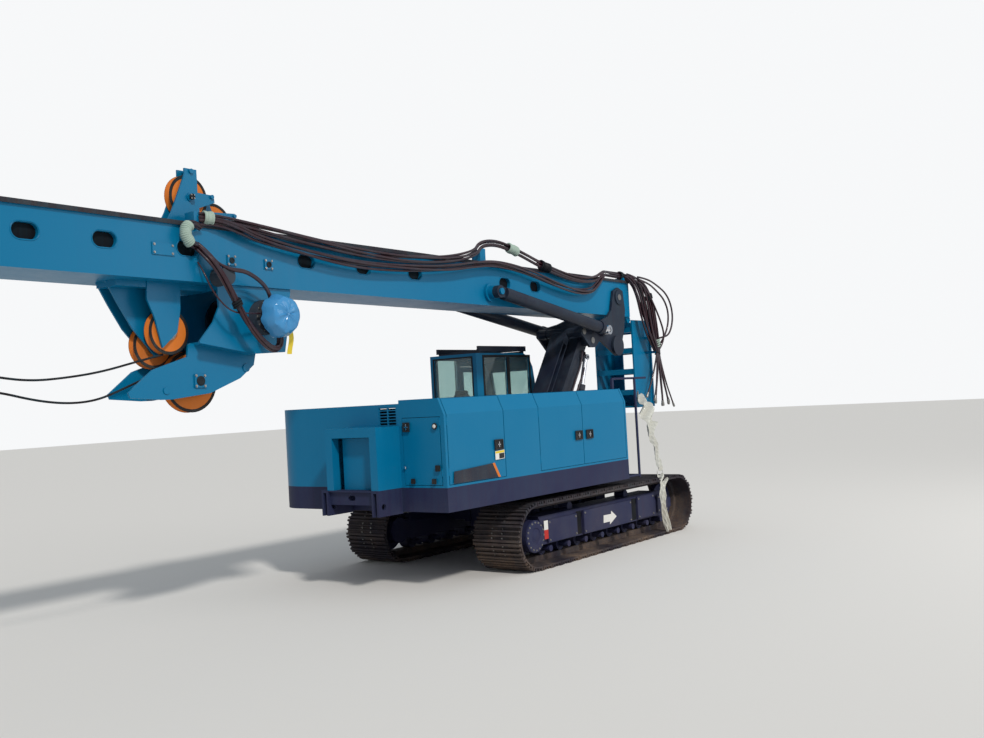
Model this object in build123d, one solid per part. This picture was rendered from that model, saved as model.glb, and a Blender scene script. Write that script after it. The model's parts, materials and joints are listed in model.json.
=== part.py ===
"""Rotary drilling rig, parked with its mast folded back over the machine.

Millimetres, +X to the front of the machine, +Y to its left, +Z up, ground at Z = 0.
The shape functions work from the slew axis (X = Y = 0). The mast's pieces are
first laid level and are then leaned by MAST_LEAN about the mast's foot pin.
At the end all pieces are moved by ROW_SHIFT_X, so that the row's origin is the
middle of the machine's length, on the ground.
"""
from build123d import *
import math
import os

# Gaps between pieces
FIT_GAP = 0.3
SLIDE_GAP = 0.5
RUN_GAP = 6.0
PANEL_GAP = 12.0
PIN_GAP = 0.06

# Crawler tracks
TRACK_OVERALL_WIDTH = 3000.0
SHOE_WIDTH = 730.0
TRACK_LENGTH = 4720.0
TRACK_HEIGHT = 870.0
SHOE_COUNT = 48
SHOE_THICKNESS = 18.0
GROUSER_HEIGHT = 32.0
GROUSER_WIDTH = 26.0
SHOE_JOINT_GAP = 14.0
LINK_WIDTH = 190.0
LINK_DEPTH = 78.0
TRACK_EXTENSION = 450.0
SIDE_FRAME_WIDTH = 470.0
SIDE_FRAME_BOTTOM = 290.0
SIDE_FRAME_TOP = 645.0
BOTTOM_ROLLER_RADIUS = 92.0
BOTTOM_ROLLER_COUNT = 8
CARRIER_ROLLER_RADIUS = 62.0
CARRIER_ROLLER_X = (-760.0, 760.0)
HUB_RADIUS = 205.0

# Car body between the tracks
CAR_BODY_LENGTH = 1500.0
CAR_BODY_WIDTH = 1360.0
CAR_BODY_BOTTOM = 360.0
CAR_BODY_TOP = 770.0
BEAM_X = (-560.0, 560.0)
BEAM_SIZE = 250.0
SLEEVE_WALL = 22.0
SLEW_RADIUS = 640.0
SLEW_RING_HEIGHT = 172.0

# Upper deck
DECK_BOTTOM = 943.0
DECK_TOP = 1224.0
DECK_PLATE = 20.0
BELLY_PLATE = 10.0
SKIRT_WALL = 16.0
BODY_WIDTH = 2970.0
BODY_REAR = -3650.0
HOOD_FRONT = 445.0
CAB_DECK_FRONT = 1100.0
REAR_CORNER_RADIUS = 480.0
GIRDER_Y = 330.0
GIRDER_WALL = 30.0
GIRDER_FRONT = 880.0
LUG_Y = ((-790.0, -680.0), (30.0, 140.0))
LUG_REAR = -4060.0
LUG_THICKNESS = 30.0
LUG_HOLE_RADIUS = 36.0

# Machinery house
WALL = 25.0
POST_WIDTH = 50.0
HOOD_TOP = 2250.0
HOOD_FOLD = 2060.0
HOOD_FOLD_INSET = 82.0
HOOD_INNER_Y = -800.0
HOUSE_TOP = 2206.0
HOUSE_FRONT_RIGHT = -1900.0
HOUSE_FRONT_LEFT = -760.0
HOUSE_LEFT_INNER_Y = 620.0
SEAM_X = (-2520.0, -1770.0, -735.0)
SILL = 26.0
LATCH_SIZE = (160.0, 14.0, 110.0)
LATCH_FROM_SEAM = (-140.0, -125.0, 145.0)
LATCH_Z = 1652.0
HINGE_RADIUS = 5.5
HINGE_LENGTH = 45.0
HINGE_LEAF = 5.0
HINGE_REACH = 14.0
HINGE_Z = (1400.0, 1980.0)
PORTAL_Y = (-790.0, 45.0)
PORTAL_REAR = -4050.0
PORTAL_TOP = 1950.0
PORTAL_POST = 110.0
TANK_Y = (-690.0, -115.0)
TANK_TOP = 1830.0
GRILLE_Y = (-760.0, -470.0)
GRILLE_Z = (1905.0, 2175.0)
LOUVRE_PITCH = 35.0

# Cab
CAB_Y = (470.0, 1370.0)
CAB_REAR = -505.0
CAB_FLOOR = 1262.0
CAB_ROOF = 2900.0
CAB_NOSE = 1090.0
CAB_WALL = 45.0
CAB_DOOR_X = (160.0, 970.0)
CAB_DOOR_Z = (1310.0, 2800.0)
WINDOW_SILL = 2120.0
WINDOW_HEAD = 2835.0
GLASS = 8.0

# Boom, link and support frame: a parallelogram
BOOM_FOOT = (330.0, 1530.0)
BOOM_HEAD = (1370.0, 3040.0)
LINK_OFFSET = (-240.0, 140.0)
BOOM_HALF_WIDTH = 250.0
BOOM_DEPTH = (140.0, 110.0)
BOOM_WALL = 30.0
BOOM_PIN_RADIUS = 50.0
BOOM_EYE_RADIUS = 110.0
LINK_HALF_WIDTH = 140.0
LINK_DEPTH_HALF = 60.0
LINK_EYE_RADIUS = 75.0
EAR_OFFSET = 165.0
EAR_PLATE = 30.0
SUPPORT_INNER_Y = 388.0
SUPPORT_WALL = 40.0
SUPPORT_BULGE = (2090.0, 2960.0, 165.0)
BOOM_LIFT_DEG = 28.0
LUFF_FOOT = (770.0, 1330.0)
LUFF_EYE = (1300.0, 2780.0)
LUFF_Y = 320.0
LUFF_PIN_RADIUS = 30.0
LUFF_BARREL_RADIUS = 54.0
LUFF_ROD_RADIUS = 36.0
LUFF_ROD_SHOWN = 470.0

# Mast
MAST_PIN = (2250.0, 3760.0)
MAST_LEAN = 0.69
MAST_HALF_WIDTH = 378.0
MAST_UNDER = 300.0
MAST_OVER = 262.0
MAST_FOOT_LENGTH = 440.0
MAST_HEAD_LENGTH = 13050.0
MAST_WALL = 14.0
RAIL_HEIGHT = 38.0
RAIL_WIDTH = 150.0
SLOT_LENGTH = 250.0
SLOT_HEIGHT = 150.0
SLOT_DEPTH = 60.0
SLOT_X = (-10300.0, -9100.0, -7903.0, -7127.0, -6198.0, -4598.0, -3678.0, -2748.0, -830.0, -78.0)
SLOT_OVER = 34.0
MAST_BARREL_PIN = (-1200.0, 3638.0)
MAST_ROD_PIN = (1660.0, 3200.0)
MAST_ROD_SHOWN = 190.0
MAST_CYLINDER_Y = 540.0
MAST_BARREL_RADIUS = 92.0
MAST_ROD_RADIUS = 55.0
CYLINDER_PIN_RADIUS = 45.0
EYE_WIDTH = 90.0

# Lower mast section and head frame
LOWER_MAST_GAP = 24.0
FOLD_EAR_RADIUS = 60.0
HEAD_LENGTH = 1250.0
HEAD_PLATE = 24.0
HEAD_PLATE_Y = 250.0
HEAD_SHEAVE_RADIUS = 300.0
HEAD_FOLD_DEG = 90.0

# Winch group under the mast and sheave bracket over it
WINCH_PLATE_Y = 350.0
WINCH_PLATE = 25.0
LOWER_PLATE_Y = 183.0
GUIDE_PLATE = 22.0
GUIDE_PLATE_Y = (-165.0, 0.0, 165.0)
DRUM_AT = (-5243.0, 3130.0)
DRUM_RADIUS = 190.0
DRUM_FLANGE_RADIUS = 265.0
MOTOR_RADIUS = (190.0, 125.0)
MOTOR_LENGTH = (130.0, 230.0)
SHEAVE_WIDTH = 84.0
SHEAVE_GROOVE = 34.0
LOW_SHEAVE = (-5965.0, 2461.0, 320.0)
GUIDE_SHEAVES = ((-6340.0, 2836.0, 235.0, 92.0), (-6281.0, 2967.0, 235.0, -92.0))
TOP_SHEAVES = ((-5990.0, 4375.0, 235.0, -100.0), (-5590.0, 4150.0, 235.0, 22.0))
SHEAVE_AXLE_RADIUS = 45.0
BRACKET_PLATE = 22.0
BRACKET_GAP = 8.0

# Hoses
HOSE_BUNDLE_RADIUS = 58.0

MAST_FRONT_X = MAST_PIN[0] + MAST_FOOT_LENGTH
MAST_REAR_X = MAST_PIN[0] - MAST_HEAD_LENGTH
LOWER_MAST_BASE = 1920.0
TRACK_Y = (TRACK_OVERALL_WIDTH - SHOE_WIDTH) / 2

nodes = {}


def block(x0, x1, y0, y1, z0, z1):
    """A box between two corners."""
    return Pos((x0 + x1) / 2, (y0 + y1) / 2, (z0 + z1) / 2) * Box(x1 - x0, y1 - y0, z1 - z0)


def side_plate(points, y0, y1):
    """An outline in X and Z, given its thickness along Y."""
    wire = Polyline([(x, 0, z) for x, z in points], close=True)
    return Pos(0, y0, 0) * extrude(make_face(wire), amount=y1 - y0, dir=(0, 1, 0))


def cross_plate(points, x0, x1):
    """An outline in Y and Z, given its length along X."""
    wire = Polyline([(0, y, z) for y, z in points], close=True)
    return Pos(x0, 0, 0) * extrude(make_face(wire), amount=x1 - x0, dir=(1, 0, 0))


def disc_y(x, z, radius, y0, y1):
    """A round bar or disc along Y."""
    return Pos(x, (y0 + y1) / 2, z) * Rot(90, 0, 0) * Cylinder(radius, y1 - y0)


def ring_y(x, z, outer, inner, y0, y1):
    """A bush or eye along Y."""
    return disc_y(x, z, outer, y0, y1) - disc_y(x, z, inner, y0 - 1, y1 + 1)


def bar(start, end, radius):
    """A round bar between two points."""
    a, b = Vector(*start), Vector(*end)
    plane = Plane(origin=(a + b) / 2, z_dir=(b - a).normalized())
    return plane * Cylinder(radius, (b - a).length)


def mirrored(shape):
    """The same piece on the other side of the machine."""
    return mirror(shape, about=Plane.XZ)


def both_sides(shape):
    return shape + mirrored(shape)


def strut(a, b, half_depth_a, half_depth_b, y0, y1):
    """A tapered flat-sided arm in the XZ plane from a to b."""
    dx, dz = b[0] - a[0], b[1] - a[1]
    length = math.hypot(dx, dz)
    nx, nz = -dz / length, dx / length
    points = [
        (a[0] + nx * half_depth_a, a[1] + nz * half_depth_a),
        (b[0] + nx * half_depth_b, b[1] + nz * half_depth_b),
        (b[0] - nx * half_depth_b, b[1] - nz * half_depth_b),
        (a[0] - nx * half_depth_a, a[1] - nz * half_depth_a),
    ]
    return side_plate(points, y0, y1)


def along(a, b, distance):
    """The point at a distance from a towards b, in X and Z."""
    length = math.hypot(b[0] - a[0], b[1] - a[1])
    t = distance / length
    return (a[0] + (b[0] - a[0]) * t, a[1] + (b[1] - a[1]) * t)


def leaned(shape):
    """Lean a piece of the mast about the foot pin, rear end up."""
    pivot = Pos(MAST_PIN[0], 0, MAST_PIN[1])
    return pivot * Rot(0, MAST_LEAN, 0) * pivot.inverse() * shape


def leaned_point(x, z):
    """Where a point of the mast lies once the mast is leaned."""
    turn = math.radians(MAST_LEAN)
    dx, dz = x - MAST_PIN[0], z - MAST_PIN[1]
    return (MAST_PIN[0] + dx * math.cos(turn) + dz * math.sin(turn),
            MAST_PIN[1] - dx * math.sin(turn) + dz * math.cos(turn))


def sheave(x, z, radius, y):
    """A grooved rope wheel about Y, bored for its axle."""
    half = SHEAVE_WIDTH / 2
    bore = SHEAVE_AXLE_RADIUS + PIN_GAP
    profile = Polyline(
        [(bore, -half), (radius, -half), (radius - SHEAVE_GROOVE, 0), (radius, half), (bore, half)],
        close=True,
    )
    wheel = revolve(make_face(Plane.XY * profile), axis=Axis.Y)
    return Pos(x, y, z) * wheel


def hose(points, radius, turn=0.45):
    """A hose along straight runs joined by arcs as large as the runs allow."""
    radii = []
    for before, here, after in zip(points, points[1:], points[2:]):
        first = Vector(*here) - Vector(*before)
        second = Vector(*after) - Vector(*here)
        angle = math.radians(first.get_angle(second))
        radii.append(turn * min(first.length, second.length) / math.tan(angle / 2))
    path = FilletPolyline(*[Vector(*p) for p in points], radius=radii)
    section = Plane(origin=points[0], z_dir=path % 0) * Circle(radius)
    tube = sweep(section, path=path)
    length = tube.volume / (math.pi * radius ** 2)
    print(f"hose: {length:.0f} mm by volume, {path.length:.0f} mm by path, least radius {min(radii):.0f}")
    return tube


def track_point(distance, height):
    """A point of the track's outline: distance along its pitch line, height outside it."""
    radius = TRACK_HEIGHT / 2 - GROUSER_HEIGHT - SHOE_THICKNESS
    half = TRACK_LENGTH / 2 - TRACK_HEIGHT / 2
    straight, bend = 2 * half, math.pi * radius
    s = distance % (2 * (straight + bend))
    mid = TRACK_HEIGHT / 2
    if s < straight:
        return (-half + s, mid + radius + height)
    s -= straight
    if s < bend:
        turn = s / radius
        reach = radius + height
        return (half + reach * math.sin(turn), mid + reach * math.cos(turn))
    s -= bend
    if s < straight:
        return (half - s, mid - radius - height)
    s -= straight
    turn = s / radius
    reach = radius + height
    return (-half - reach * math.sin(turn), mid - reach * math.cos(turn))


def track_belt():
    """One closed loop of shoes with its link chain inside, centred on Y = 0."""
    radius = TRACK_HEIGHT / 2 - GROUSER_HEIGHT - SHOE_THICKNESS
    half = TRACK_LENGTH / 2 - TRACK_HEIGHT / 2
    mid = TRACK_HEIGHT / 2
    pitch = 2 * (2 * half + math.pi * radius) / SHOE_COUNT
    plate_half = (pitch - SHOE_JOINT_GAP) / 2
    top = SHOE_THICKNESS + GROUSER_HEIGHT
    bars = (-plate_half + GROUSER_WIDTH / 2, plate_half - GROUSER_WIDTH / 2)
    outline = []
    for shoe in range(SHOE_COUNT):
        centre = (shoe + 0.5) * pitch
        outline.append(track_point(centre - plate_half, 0))
        for bar_at in bars:
            for offset, height in ((-0.5, top), (0.5, top)):
                outline.append(track_point(centre + bar_at + offset * GROUSER_WIDTH, height))
            if bar_at < 0:
                outline.append(track_point(centre + bar_at + 0.5 * GROUSER_WIDTH, SHOE_THICKNESS))
                outline.append(track_point(centre - bar_at - 0.5 * GROUSER_WIDTH, SHOE_THICKNESS))
        outline.append(track_point(centre + plate_half, 0))
    width = SHOE_WIDTH / 2
    shoes = side_plate(outline, -width, width)
    inner = Pos(0, 0, mid) * Rot(90, 0, 0) * extrude(
        SlotCenterToCenter(2 * half, 2 * (radius - 6)), amount=width + 1, both=True)
    shoes -= inner
    link = LINK_WIDTH / 2
    chain = Pos(0, 0, mid) * Rot(90, 0, 0) * extrude(
        SlotCenterToCenter(2 * half, 2 * (radius - 5))
        - SlotCenterToCenter(2 * half, 2 * (radius - LINK_DEPTH)), amount=link, both=True)
    return shoes + chain


def side_frame():
    """A track's frame with its idler, final drive and rollers, centred on Y = 0."""
    half = TRACK_LENGTH / 2 - TRACK_HEIGHT / 2
    mid = TRACK_HEIGHT / 2
    inner_radius = TRACK_HEIGHT / 2 - GROUSER_HEIGHT - SHOE_THICKNESS - LINK_DEPTH
    width = SIDE_FRAME_WIDTH / 2
    bevel = 60.0
    section = [
        (-width, SIDE_FRAME_BOTTOM), (-width, SIDE_FRAME_TOP - 2 * bevel),
        (-width + bevel, SIDE_FRAME_TOP), (width - bevel, SIDE_FRAME_TOP),
        (width, SIDE_FRAME_TOP - 2 * bevel), (width, SIDE_FRAME_BOTTOM),
    ]
    frame = cross_plate(section, -half + HUB_RADIUS + 60, half - 330)
    frame += block(-half - 40, -half + HUB_RADIUS + 60, -width, -LINK_WIDTH / 2 - 40, mid - 130, mid + 130)
    frame += disc_y(-half, mid, HUB_RADIUS, -width - 70, -LINK_WIDTH / 2 - 40)
    frame += block(-half, -half + HUB_RADIUS + 60, LINK_WIDTH / 2 + 40, width, mid - 130, mid + 130)
    frame += disc_y(-half, mid, HUB_RADIUS - 30, LINK_WIDTH / 2 + 40, width + 20)
    frame += disc_y(-half, mid, 120, -LINK_WIDTH / 2 - 41, LINK_WIDTH / 2 + 41)
    for side in (-1, 1):
        arm = sorted((side * (LINK_WIDTH / 2 + 25), side * (LINK_WIDTH / 2 + 75)))
        frame += block(half - 331, half + 60, arm[0], arm[1], mid - 70, mid + 70)
    frame += disc_y(half, mid, 55, -LINK_WIDTH / 2 - 74, LINK_WIDTH / 2 + 74)
    frame += disc_y(half, mid, inner_radius - 14, -40, 40)
    frame += disc_y(-half, mid, inner_radius - 14, -32, 32)
    roller_z = mid - inner_radius + BOTTOM_ROLLER_RADIUS + FIT_GAP
    span = 2 * half - 2 * 420
    for index in range(BOTTOM_ROLLER_COUNT):
        x = -span / 2 + span * index / (BOTTOM_ROLLER_COUNT - 1) + 20
        frame += disc_y(x, roller_z, BOTTOM_ROLLER_RADIUS, -85, 85)
        frame += disc_y(x, roller_z, 40, -width, width)
    for x in CARRIER_ROLLER_X:
        z = mid + inner_radius - CARRIER_ROLLER_RADIUS - FIT_GAP
        frame += disc_y(x, z, CARRIER_ROLLER_RADIUS, -80, 80)
        frame += block(x - 45, x + 45, -55, 55, SIDE_FRAME_TOP - 5, z)
    return frame


def undercarriage():
    """Car body, slew ring and the two tracks on their sliding beams."""
    half_l, half_w = CAR_BODY_LENGTH / 2, CAR_BODY_WIDTH / 2
    body = block(-half_l, half_l, -half_w, half_w, CAR_BODY_BOTTOM, CAR_BODY_TOP)
    body = chamfer(body.edges().filter_by(Axis.Z), 150)
    body += Pos(0, 0, (CAR_BODY_TOP + 40) - 40) * Cylinder(SLEW_RADIUS + 60, 80)
    mid = (CAR_BODY_BOTTOM + CAR_BODY_TOP) / 2
    inner = BEAM_SIZE / 2 + SLIDE_GAP
    for x in BEAM_X:
        outer = inner + SLEEVE_WALL
        body += block(x - outer, x + outer, -half_w, half_w, mid - outer, mid + outer)
        body -= block(x - inner, x + inner, -half_w - 1, half_w + 1, mid - inner, mid + inner)
    body -= block(-300, 300, -half_w - 1, half_w + 1, CAR_BODY_BOTTOM - 1, CAR_BODY_TOP - 60)
    nodes["car_body"] = body
    ring_base = CAR_BODY_TOP + 40
    nodes["slew_ring_outer"] = Pos(0, 0, ring_base + 42) * (
        Cylinder(SLEW_RADIUS, 83) - Cylinder(SLEW_RADIUS - 130, 90))
    belt = track_belt()
    frame = side_frame()
    frame_inner = SIDE_FRAME_WIDTH / 2
    for x in BEAM_X:
        beam = block(x - BEAM_SIZE / 2, x + BEAM_SIZE / 2, frame_inner - 5, TRACK_Y - 30,
                     mid - BEAM_SIZE / 2, mid + BEAM_SIZE / 2)
        beam -= block(x - BEAM_SIZE / 2 + 25, x + BEAM_SIZE / 2 - 25, frame_inner + 100, TRACK_Y,
                      mid - BEAM_SIZE / 2 + 25, mid + BEAM_SIZE / 2 - 25)
        frame += beam
    nodes["track_frame_right"] = Pos(0, -TRACK_Y, 0) * frame
    nodes["track_frame_left"] = mirrored(nodes["track_frame_right"])
    nodes["track_belt_right"] = Pos(0, -TRACK_Y, 0) * belt
    nodes["track_belt_left"] = mirrored(nodes["track_belt_right"])


def deck_outline(inset, rear=BODY_REAR):
    """Plan of the deck and the machinery house, with the rounded left rear corner."""
    half = BODY_WIDTH / 2 - inset
    radius = REAR_CORNER_RADIUS - inset
    back = rear + inset
    with BuildLine() as line:
        Polyline((HOOD_FRONT - inset, -half), (back, -half), (back, half - radius))
        RadiusArc((back, half - radius), (back + radius, half), radius)
        Polyline((back + radius, half), (CAB_DECK_FRONT - inset, half),
                 (CAB_DECK_FRONT - inset, 400 + inset), (HOOD_FRONT - inset, 400 + inset),
                 (HOOD_FRONT - inset, -half))
    return make_face(line.line)


def deck():
    """The turning frame: skirt, deck plate, two main girders and the rear lugs."""
    outer = deck_outline(0)
    inner = deck_outline(SKIRT_WALL)
    height = DECK_TOP - DECK_BOTTOM
    skirt = extrude(Pos(0, 0, DECK_BOTTOM) * outer, amount=height)
    skirt -= extrude(Pos(0, 0, DECK_BOTTOM + BELLY_PLATE) * inner, amount=height - DECK_PLATE - BELLY_PLATE)
    for side in (-1, 1):
        y = side * GIRDER_Y
        skirt += block(BODY_REAR + 2, GIRDER_FRONT, y - GIRDER_WALL / 2, y + GIRDER_WALL / 2,
                       DECK_BOTTOM, DECK_TOP)
    ring_top = CAR_BODY_TOP + 40 + SLEW_RING_HEIGHT
    skirt += Pos(0, 0, ring_top + 20) * Cylinder(SLEW_RADIUS - 20, 40)
    foot_x, foot_z = BOOM_FOOT
    link_x, link_z = foot_x + LINK_OFFSET[0], foot_z + LINK_OFFSET[1]
    luff_x, luff_z = LUFF_FOOT
    ear_outline = [
        (link_x - 150, DECK_TOP - 5), (link_x - 110, link_z + 20), (link_x - 40, link_z + 95),
        (link_x + 50, link_z + 100), (foot_x + 70, foot_z + 120), (foot_x + 150, foot_z + 30),
        (luff_x + 40, luff_z + 85), (luff_x + 95, luff_z + 20), (GIRDER_FRONT, DECK_TOP - 5),
    ]
    ear_in = BOOM_HALF_WIDTH + RUN_GAP + EAR_OFFSET
    ear_out = ear_in + EAR_PLATE
    skirt += block(HOOD_FRONT - 10, GIRDER_FRONT, -ear_out, ear_out, DECK_TOP - DECK_PLATE, DECK_TOP)
    skirt += block(GIRDER_FRONT - DECK_PLATE, GIRDER_FRONT, -ear_out, ear_out, DECK_BOTTOM, DECK_TOP)
    skirt += both_sides(side_plate(ear_outline, ear_in, ear_out))
    nodes["upper_frame"] = skirt
    lugs = block(PORTAL_REAR, BODY_REAR - FIT_GAP, LUG_Y[0][0], LUG_Y[1][1], DECK_TOP - 20, DECK_TOP)
    apron_y = (LUG_Y[0][1] - 1, LUG_Y[1][0] + 1)
    apron = block(PORTAL_REAR + 30, PORTAL_REAR + 50, *apron_y, DECK_BOTTOM + 110, DECK_TOP - 10)
    apron_hole = Rot(0, 90, 0) * extrude(SlotOverall(120, 60, rotation=90), amount=60, both=True)
    lugs += apron - Pos(PORTAL_REAR + 40, sum(apron_y) / 2, DECK_TOP - 90) * apron_hole
    for y0, y1 in LUG_Y:
        lug = block(LUG_REAR, BODY_REAR - FIT_GAP, y0, y1, DECK_BOTTOM - 20, DECK_TOP)
        lug -= block(LUG_REAR - 1, BODY_REAR - 60, y0 + LUG_THICKNESS, y1 - LUG_THICKNESS,
                     DECK_BOTTOM - 21, DECK_TOP - 30)
        lug -= disc_y(LUG_REAR + 90, DECK_BOTTOM + 90, LUG_HOLE_RADIUS, y0 - 1, y1 + 1)
        lugs += lug
    nodes["rear_lugs"] = lugs
    pins = disc_y(foot_x, foot_z, BOOM_PIN_RADIUS, -ear_out, ear_out)
    pins += disc_y(link_x, link_z, BOOM_PIN_RADIUS, -ear_out, ear_out)
    ring_base = CAR_BODY_TOP + 40 + 83.5 + FIT_GAP
    inner_ring = Pos(0, 0, (ring_base + ring_top) / 2) * Cylinder(SLEW_RADIUS, ring_top - ring_base)
    nodes["upper_frame"] += pins + inner_ring


def house_outline(inset):
    """Plan of the machinery house left of the right hood."""
    half = BODY_WIDTH / 2 - inset
    radius = REAR_CORNER_RADIUS - inset
    back = BODY_REAR + inset
    right = HOOD_INNER_Y + FIT_GAP + inset
    with BuildLine() as line:
        Polyline((HOUSE_FRONT_RIGHT - inset, right), (back, right), (back, half - radius))
        RadiusArc((back, half - radius), (back + radius, half), radius)
        Polyline((back + radius, half), (HOUSE_FRONT_LEFT - inset, half),
                 (HOUSE_FRONT_LEFT - inset, HOUSE_LEFT_INNER_Y + inset),
                 (HOUSE_FRONT_RIGHT - inset, HOUSE_LEFT_INNER_Y + inset),
                 (HOUSE_FRONT_RIGHT - inset, right))
    return make_face(line.line)


def hood_section(inset):
    """Cross-section of the right hood, with the folded top edge."""
    half = -BODY_WIDTH / 2 + inset
    top = HOOD_TOP - inset
    fold = HOOD_FOLD - inset * 0.4
    return [
        (half, DECK_TOP), (half, fold), (half + HOOD_FOLD_INSET, top),
        (HOOD_INNER_Y - inset, top), (HOOD_INNER_Y - inset, DECK_TOP),
    ]


def door_band(x0, x1, thickness):
    """The hood's side and folded edge between two seams, as thick as a door."""
    section = hood_section(0)[:3] + hood_section(thickness)[2::-1]
    return cross_plate(section, x0, x1)


def hinge_barrels(x, y, heights, fixed_leaf, moving_leaf):
    """Barrels on a vertical hinge axis: those of the fixed piece below, those of the door above.

    A leaf is a box in plan, given from the axis as low and high X, low and high Y.
    """
    fixed = moving = None
    length = HINGE_LENGTH
    for z in heights:
        for leaf, base in ((fixed_leaf, z - length), (moving_leaf, z + FIT_GAP)):
            piece = Pos(x, y, base + length / 2) * Cylinder(HINGE_RADIUS, length)
            piece += block(x + leaf[0], x + leaf[1], y + leaf[2], y + leaf[3], base, base + length)
            if leaf is fixed_leaf:
                fixed = piece if fixed is None else fixed + piece
            else:
                moving = piece if moving is None else moving + piece
    return fixed, moving


def latch(x, y, z, size=LATCH_SIZE):
    return block(x - size[0] / 2, x + size[0] / 2, y - size[1], y, z - size[2] / 2, z + size[2] / 2)


def hood():
    """The right hood: a fixed shell and its three side doors."""
    shell = cross_plate(hood_section(0), BODY_REAR, HOOD_FRONT)
    inner = cross_plate([(y, z - 1 if z == DECK_TOP else z) for y, z in hood_section(WALL)],
                        BODY_REAR + WALL, HOOD_FRONT - WALL)
    shell -= inner
    shell -= block(BODY_REAR + WALL, HOUSE_FRONT_RIGHT, HOOD_INNER_Y - WALL - 1, HOOD_INNER_Y + 1,
                   DECK_TOP - 1, HOOD_TOP - WALL)
    seams = (BODY_REAR + 45,) + SEAM_X + (HOOD_FRONT - 45,)
    half_gap = PANEL_GAP / 2
    low = DECK_TOP + SILL
    spans = {"hood_door_rear": (0, 1), "hood_door_mid": (2, 3), "hood_door_front": (3, 4)}
    trim = block(BODY_REAR - 1, HOOD_FRONT + 1, -BODY_WIDTH / 2 - 1, 0, DECK_TOP - 1, low)
    rear, middle, front = LATCH_FROM_SEAM
    latch_x = {"hood_door_rear": SEAM_X[0] + rear, "hood_door_mid": SEAM_X[2] + middle,
               "hood_door_front": SEAM_X[2] + front}
    hinge_side = {"hood_door_rear": -1, "hood_door_mid": -1, "hood_door_front": 1}
    for name, (first, last) in spans.items():
        x0, x1 = seams[first], seams[last]
        shell -= door_band(x0 - half_gap, x1 + half_gap, WALL + 2) - trim
        door = door_band(x0 + half_gap, x1 - half_gap, WALL)
        door -= block(x0, x1, -BODY_WIDTH / 2 - 1, 0, DECK_TOP - 1, low + RUN_GAP)
        door -= block(x0, x1, -BODY_WIDTH / 2, 0, HOOD_TOP - RUN_GAP, HOOD_TOP + 1)
        door += latch(latch_x[name], -BODY_WIDTH / 2 + 2, LATCH_Z)
        side = hinge_side[name]
        away = sorted((0, side * HINGE_REACH)) + [0, HINGE_LEAF]
        towards = sorted((0, -side * HINGE_REACH)) + [0, HINGE_LEAF]
        fixed, moving = hinge_barrels(x0 if side < 0 else x1, -BODY_WIDTH / 2, HINGE_Z, away, towards)
        shell += fixed
        nodes[name] = door + moving
    rear_y = (-BODY_WIDTH / 2 + 60, HOOD_INNER_Y - 40)
    rear_z = (DECK_TOP + SILL, HOOD_FOLD - 20)
    shell -= block(BODY_REAR - 1, BODY_REAR + WALL + 1, rear_y[0], rear_y[1], rear_z[0], rear_z[1])
    door = block(BODY_REAR, BODY_REAR + WALL, rear_y[0] + PANEL_GAP, rear_y[1] - RUN_GAP,
                 rear_z[0] + RUN_GAP, rear_z[1] - RUN_GAP)
    door += block(BODY_REAR - 14, BODY_REAR + 2, rear_y[1] - 120, rear_y[1] - 60, 1880, 1950)
    fixed, moving = hinge_barrels(BODY_REAR, rear_y[0] + PANEL_GAP / 2, HINGE_Z,
                                  (0, HINGE_LEAF, -HINGE_REACH, 0), (0, HINGE_LEAF, 0, HINGE_REACH))
    shell += fixed
    nodes["rear_door"] = door + moving
    nodes["hood_right"] = shell


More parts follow.
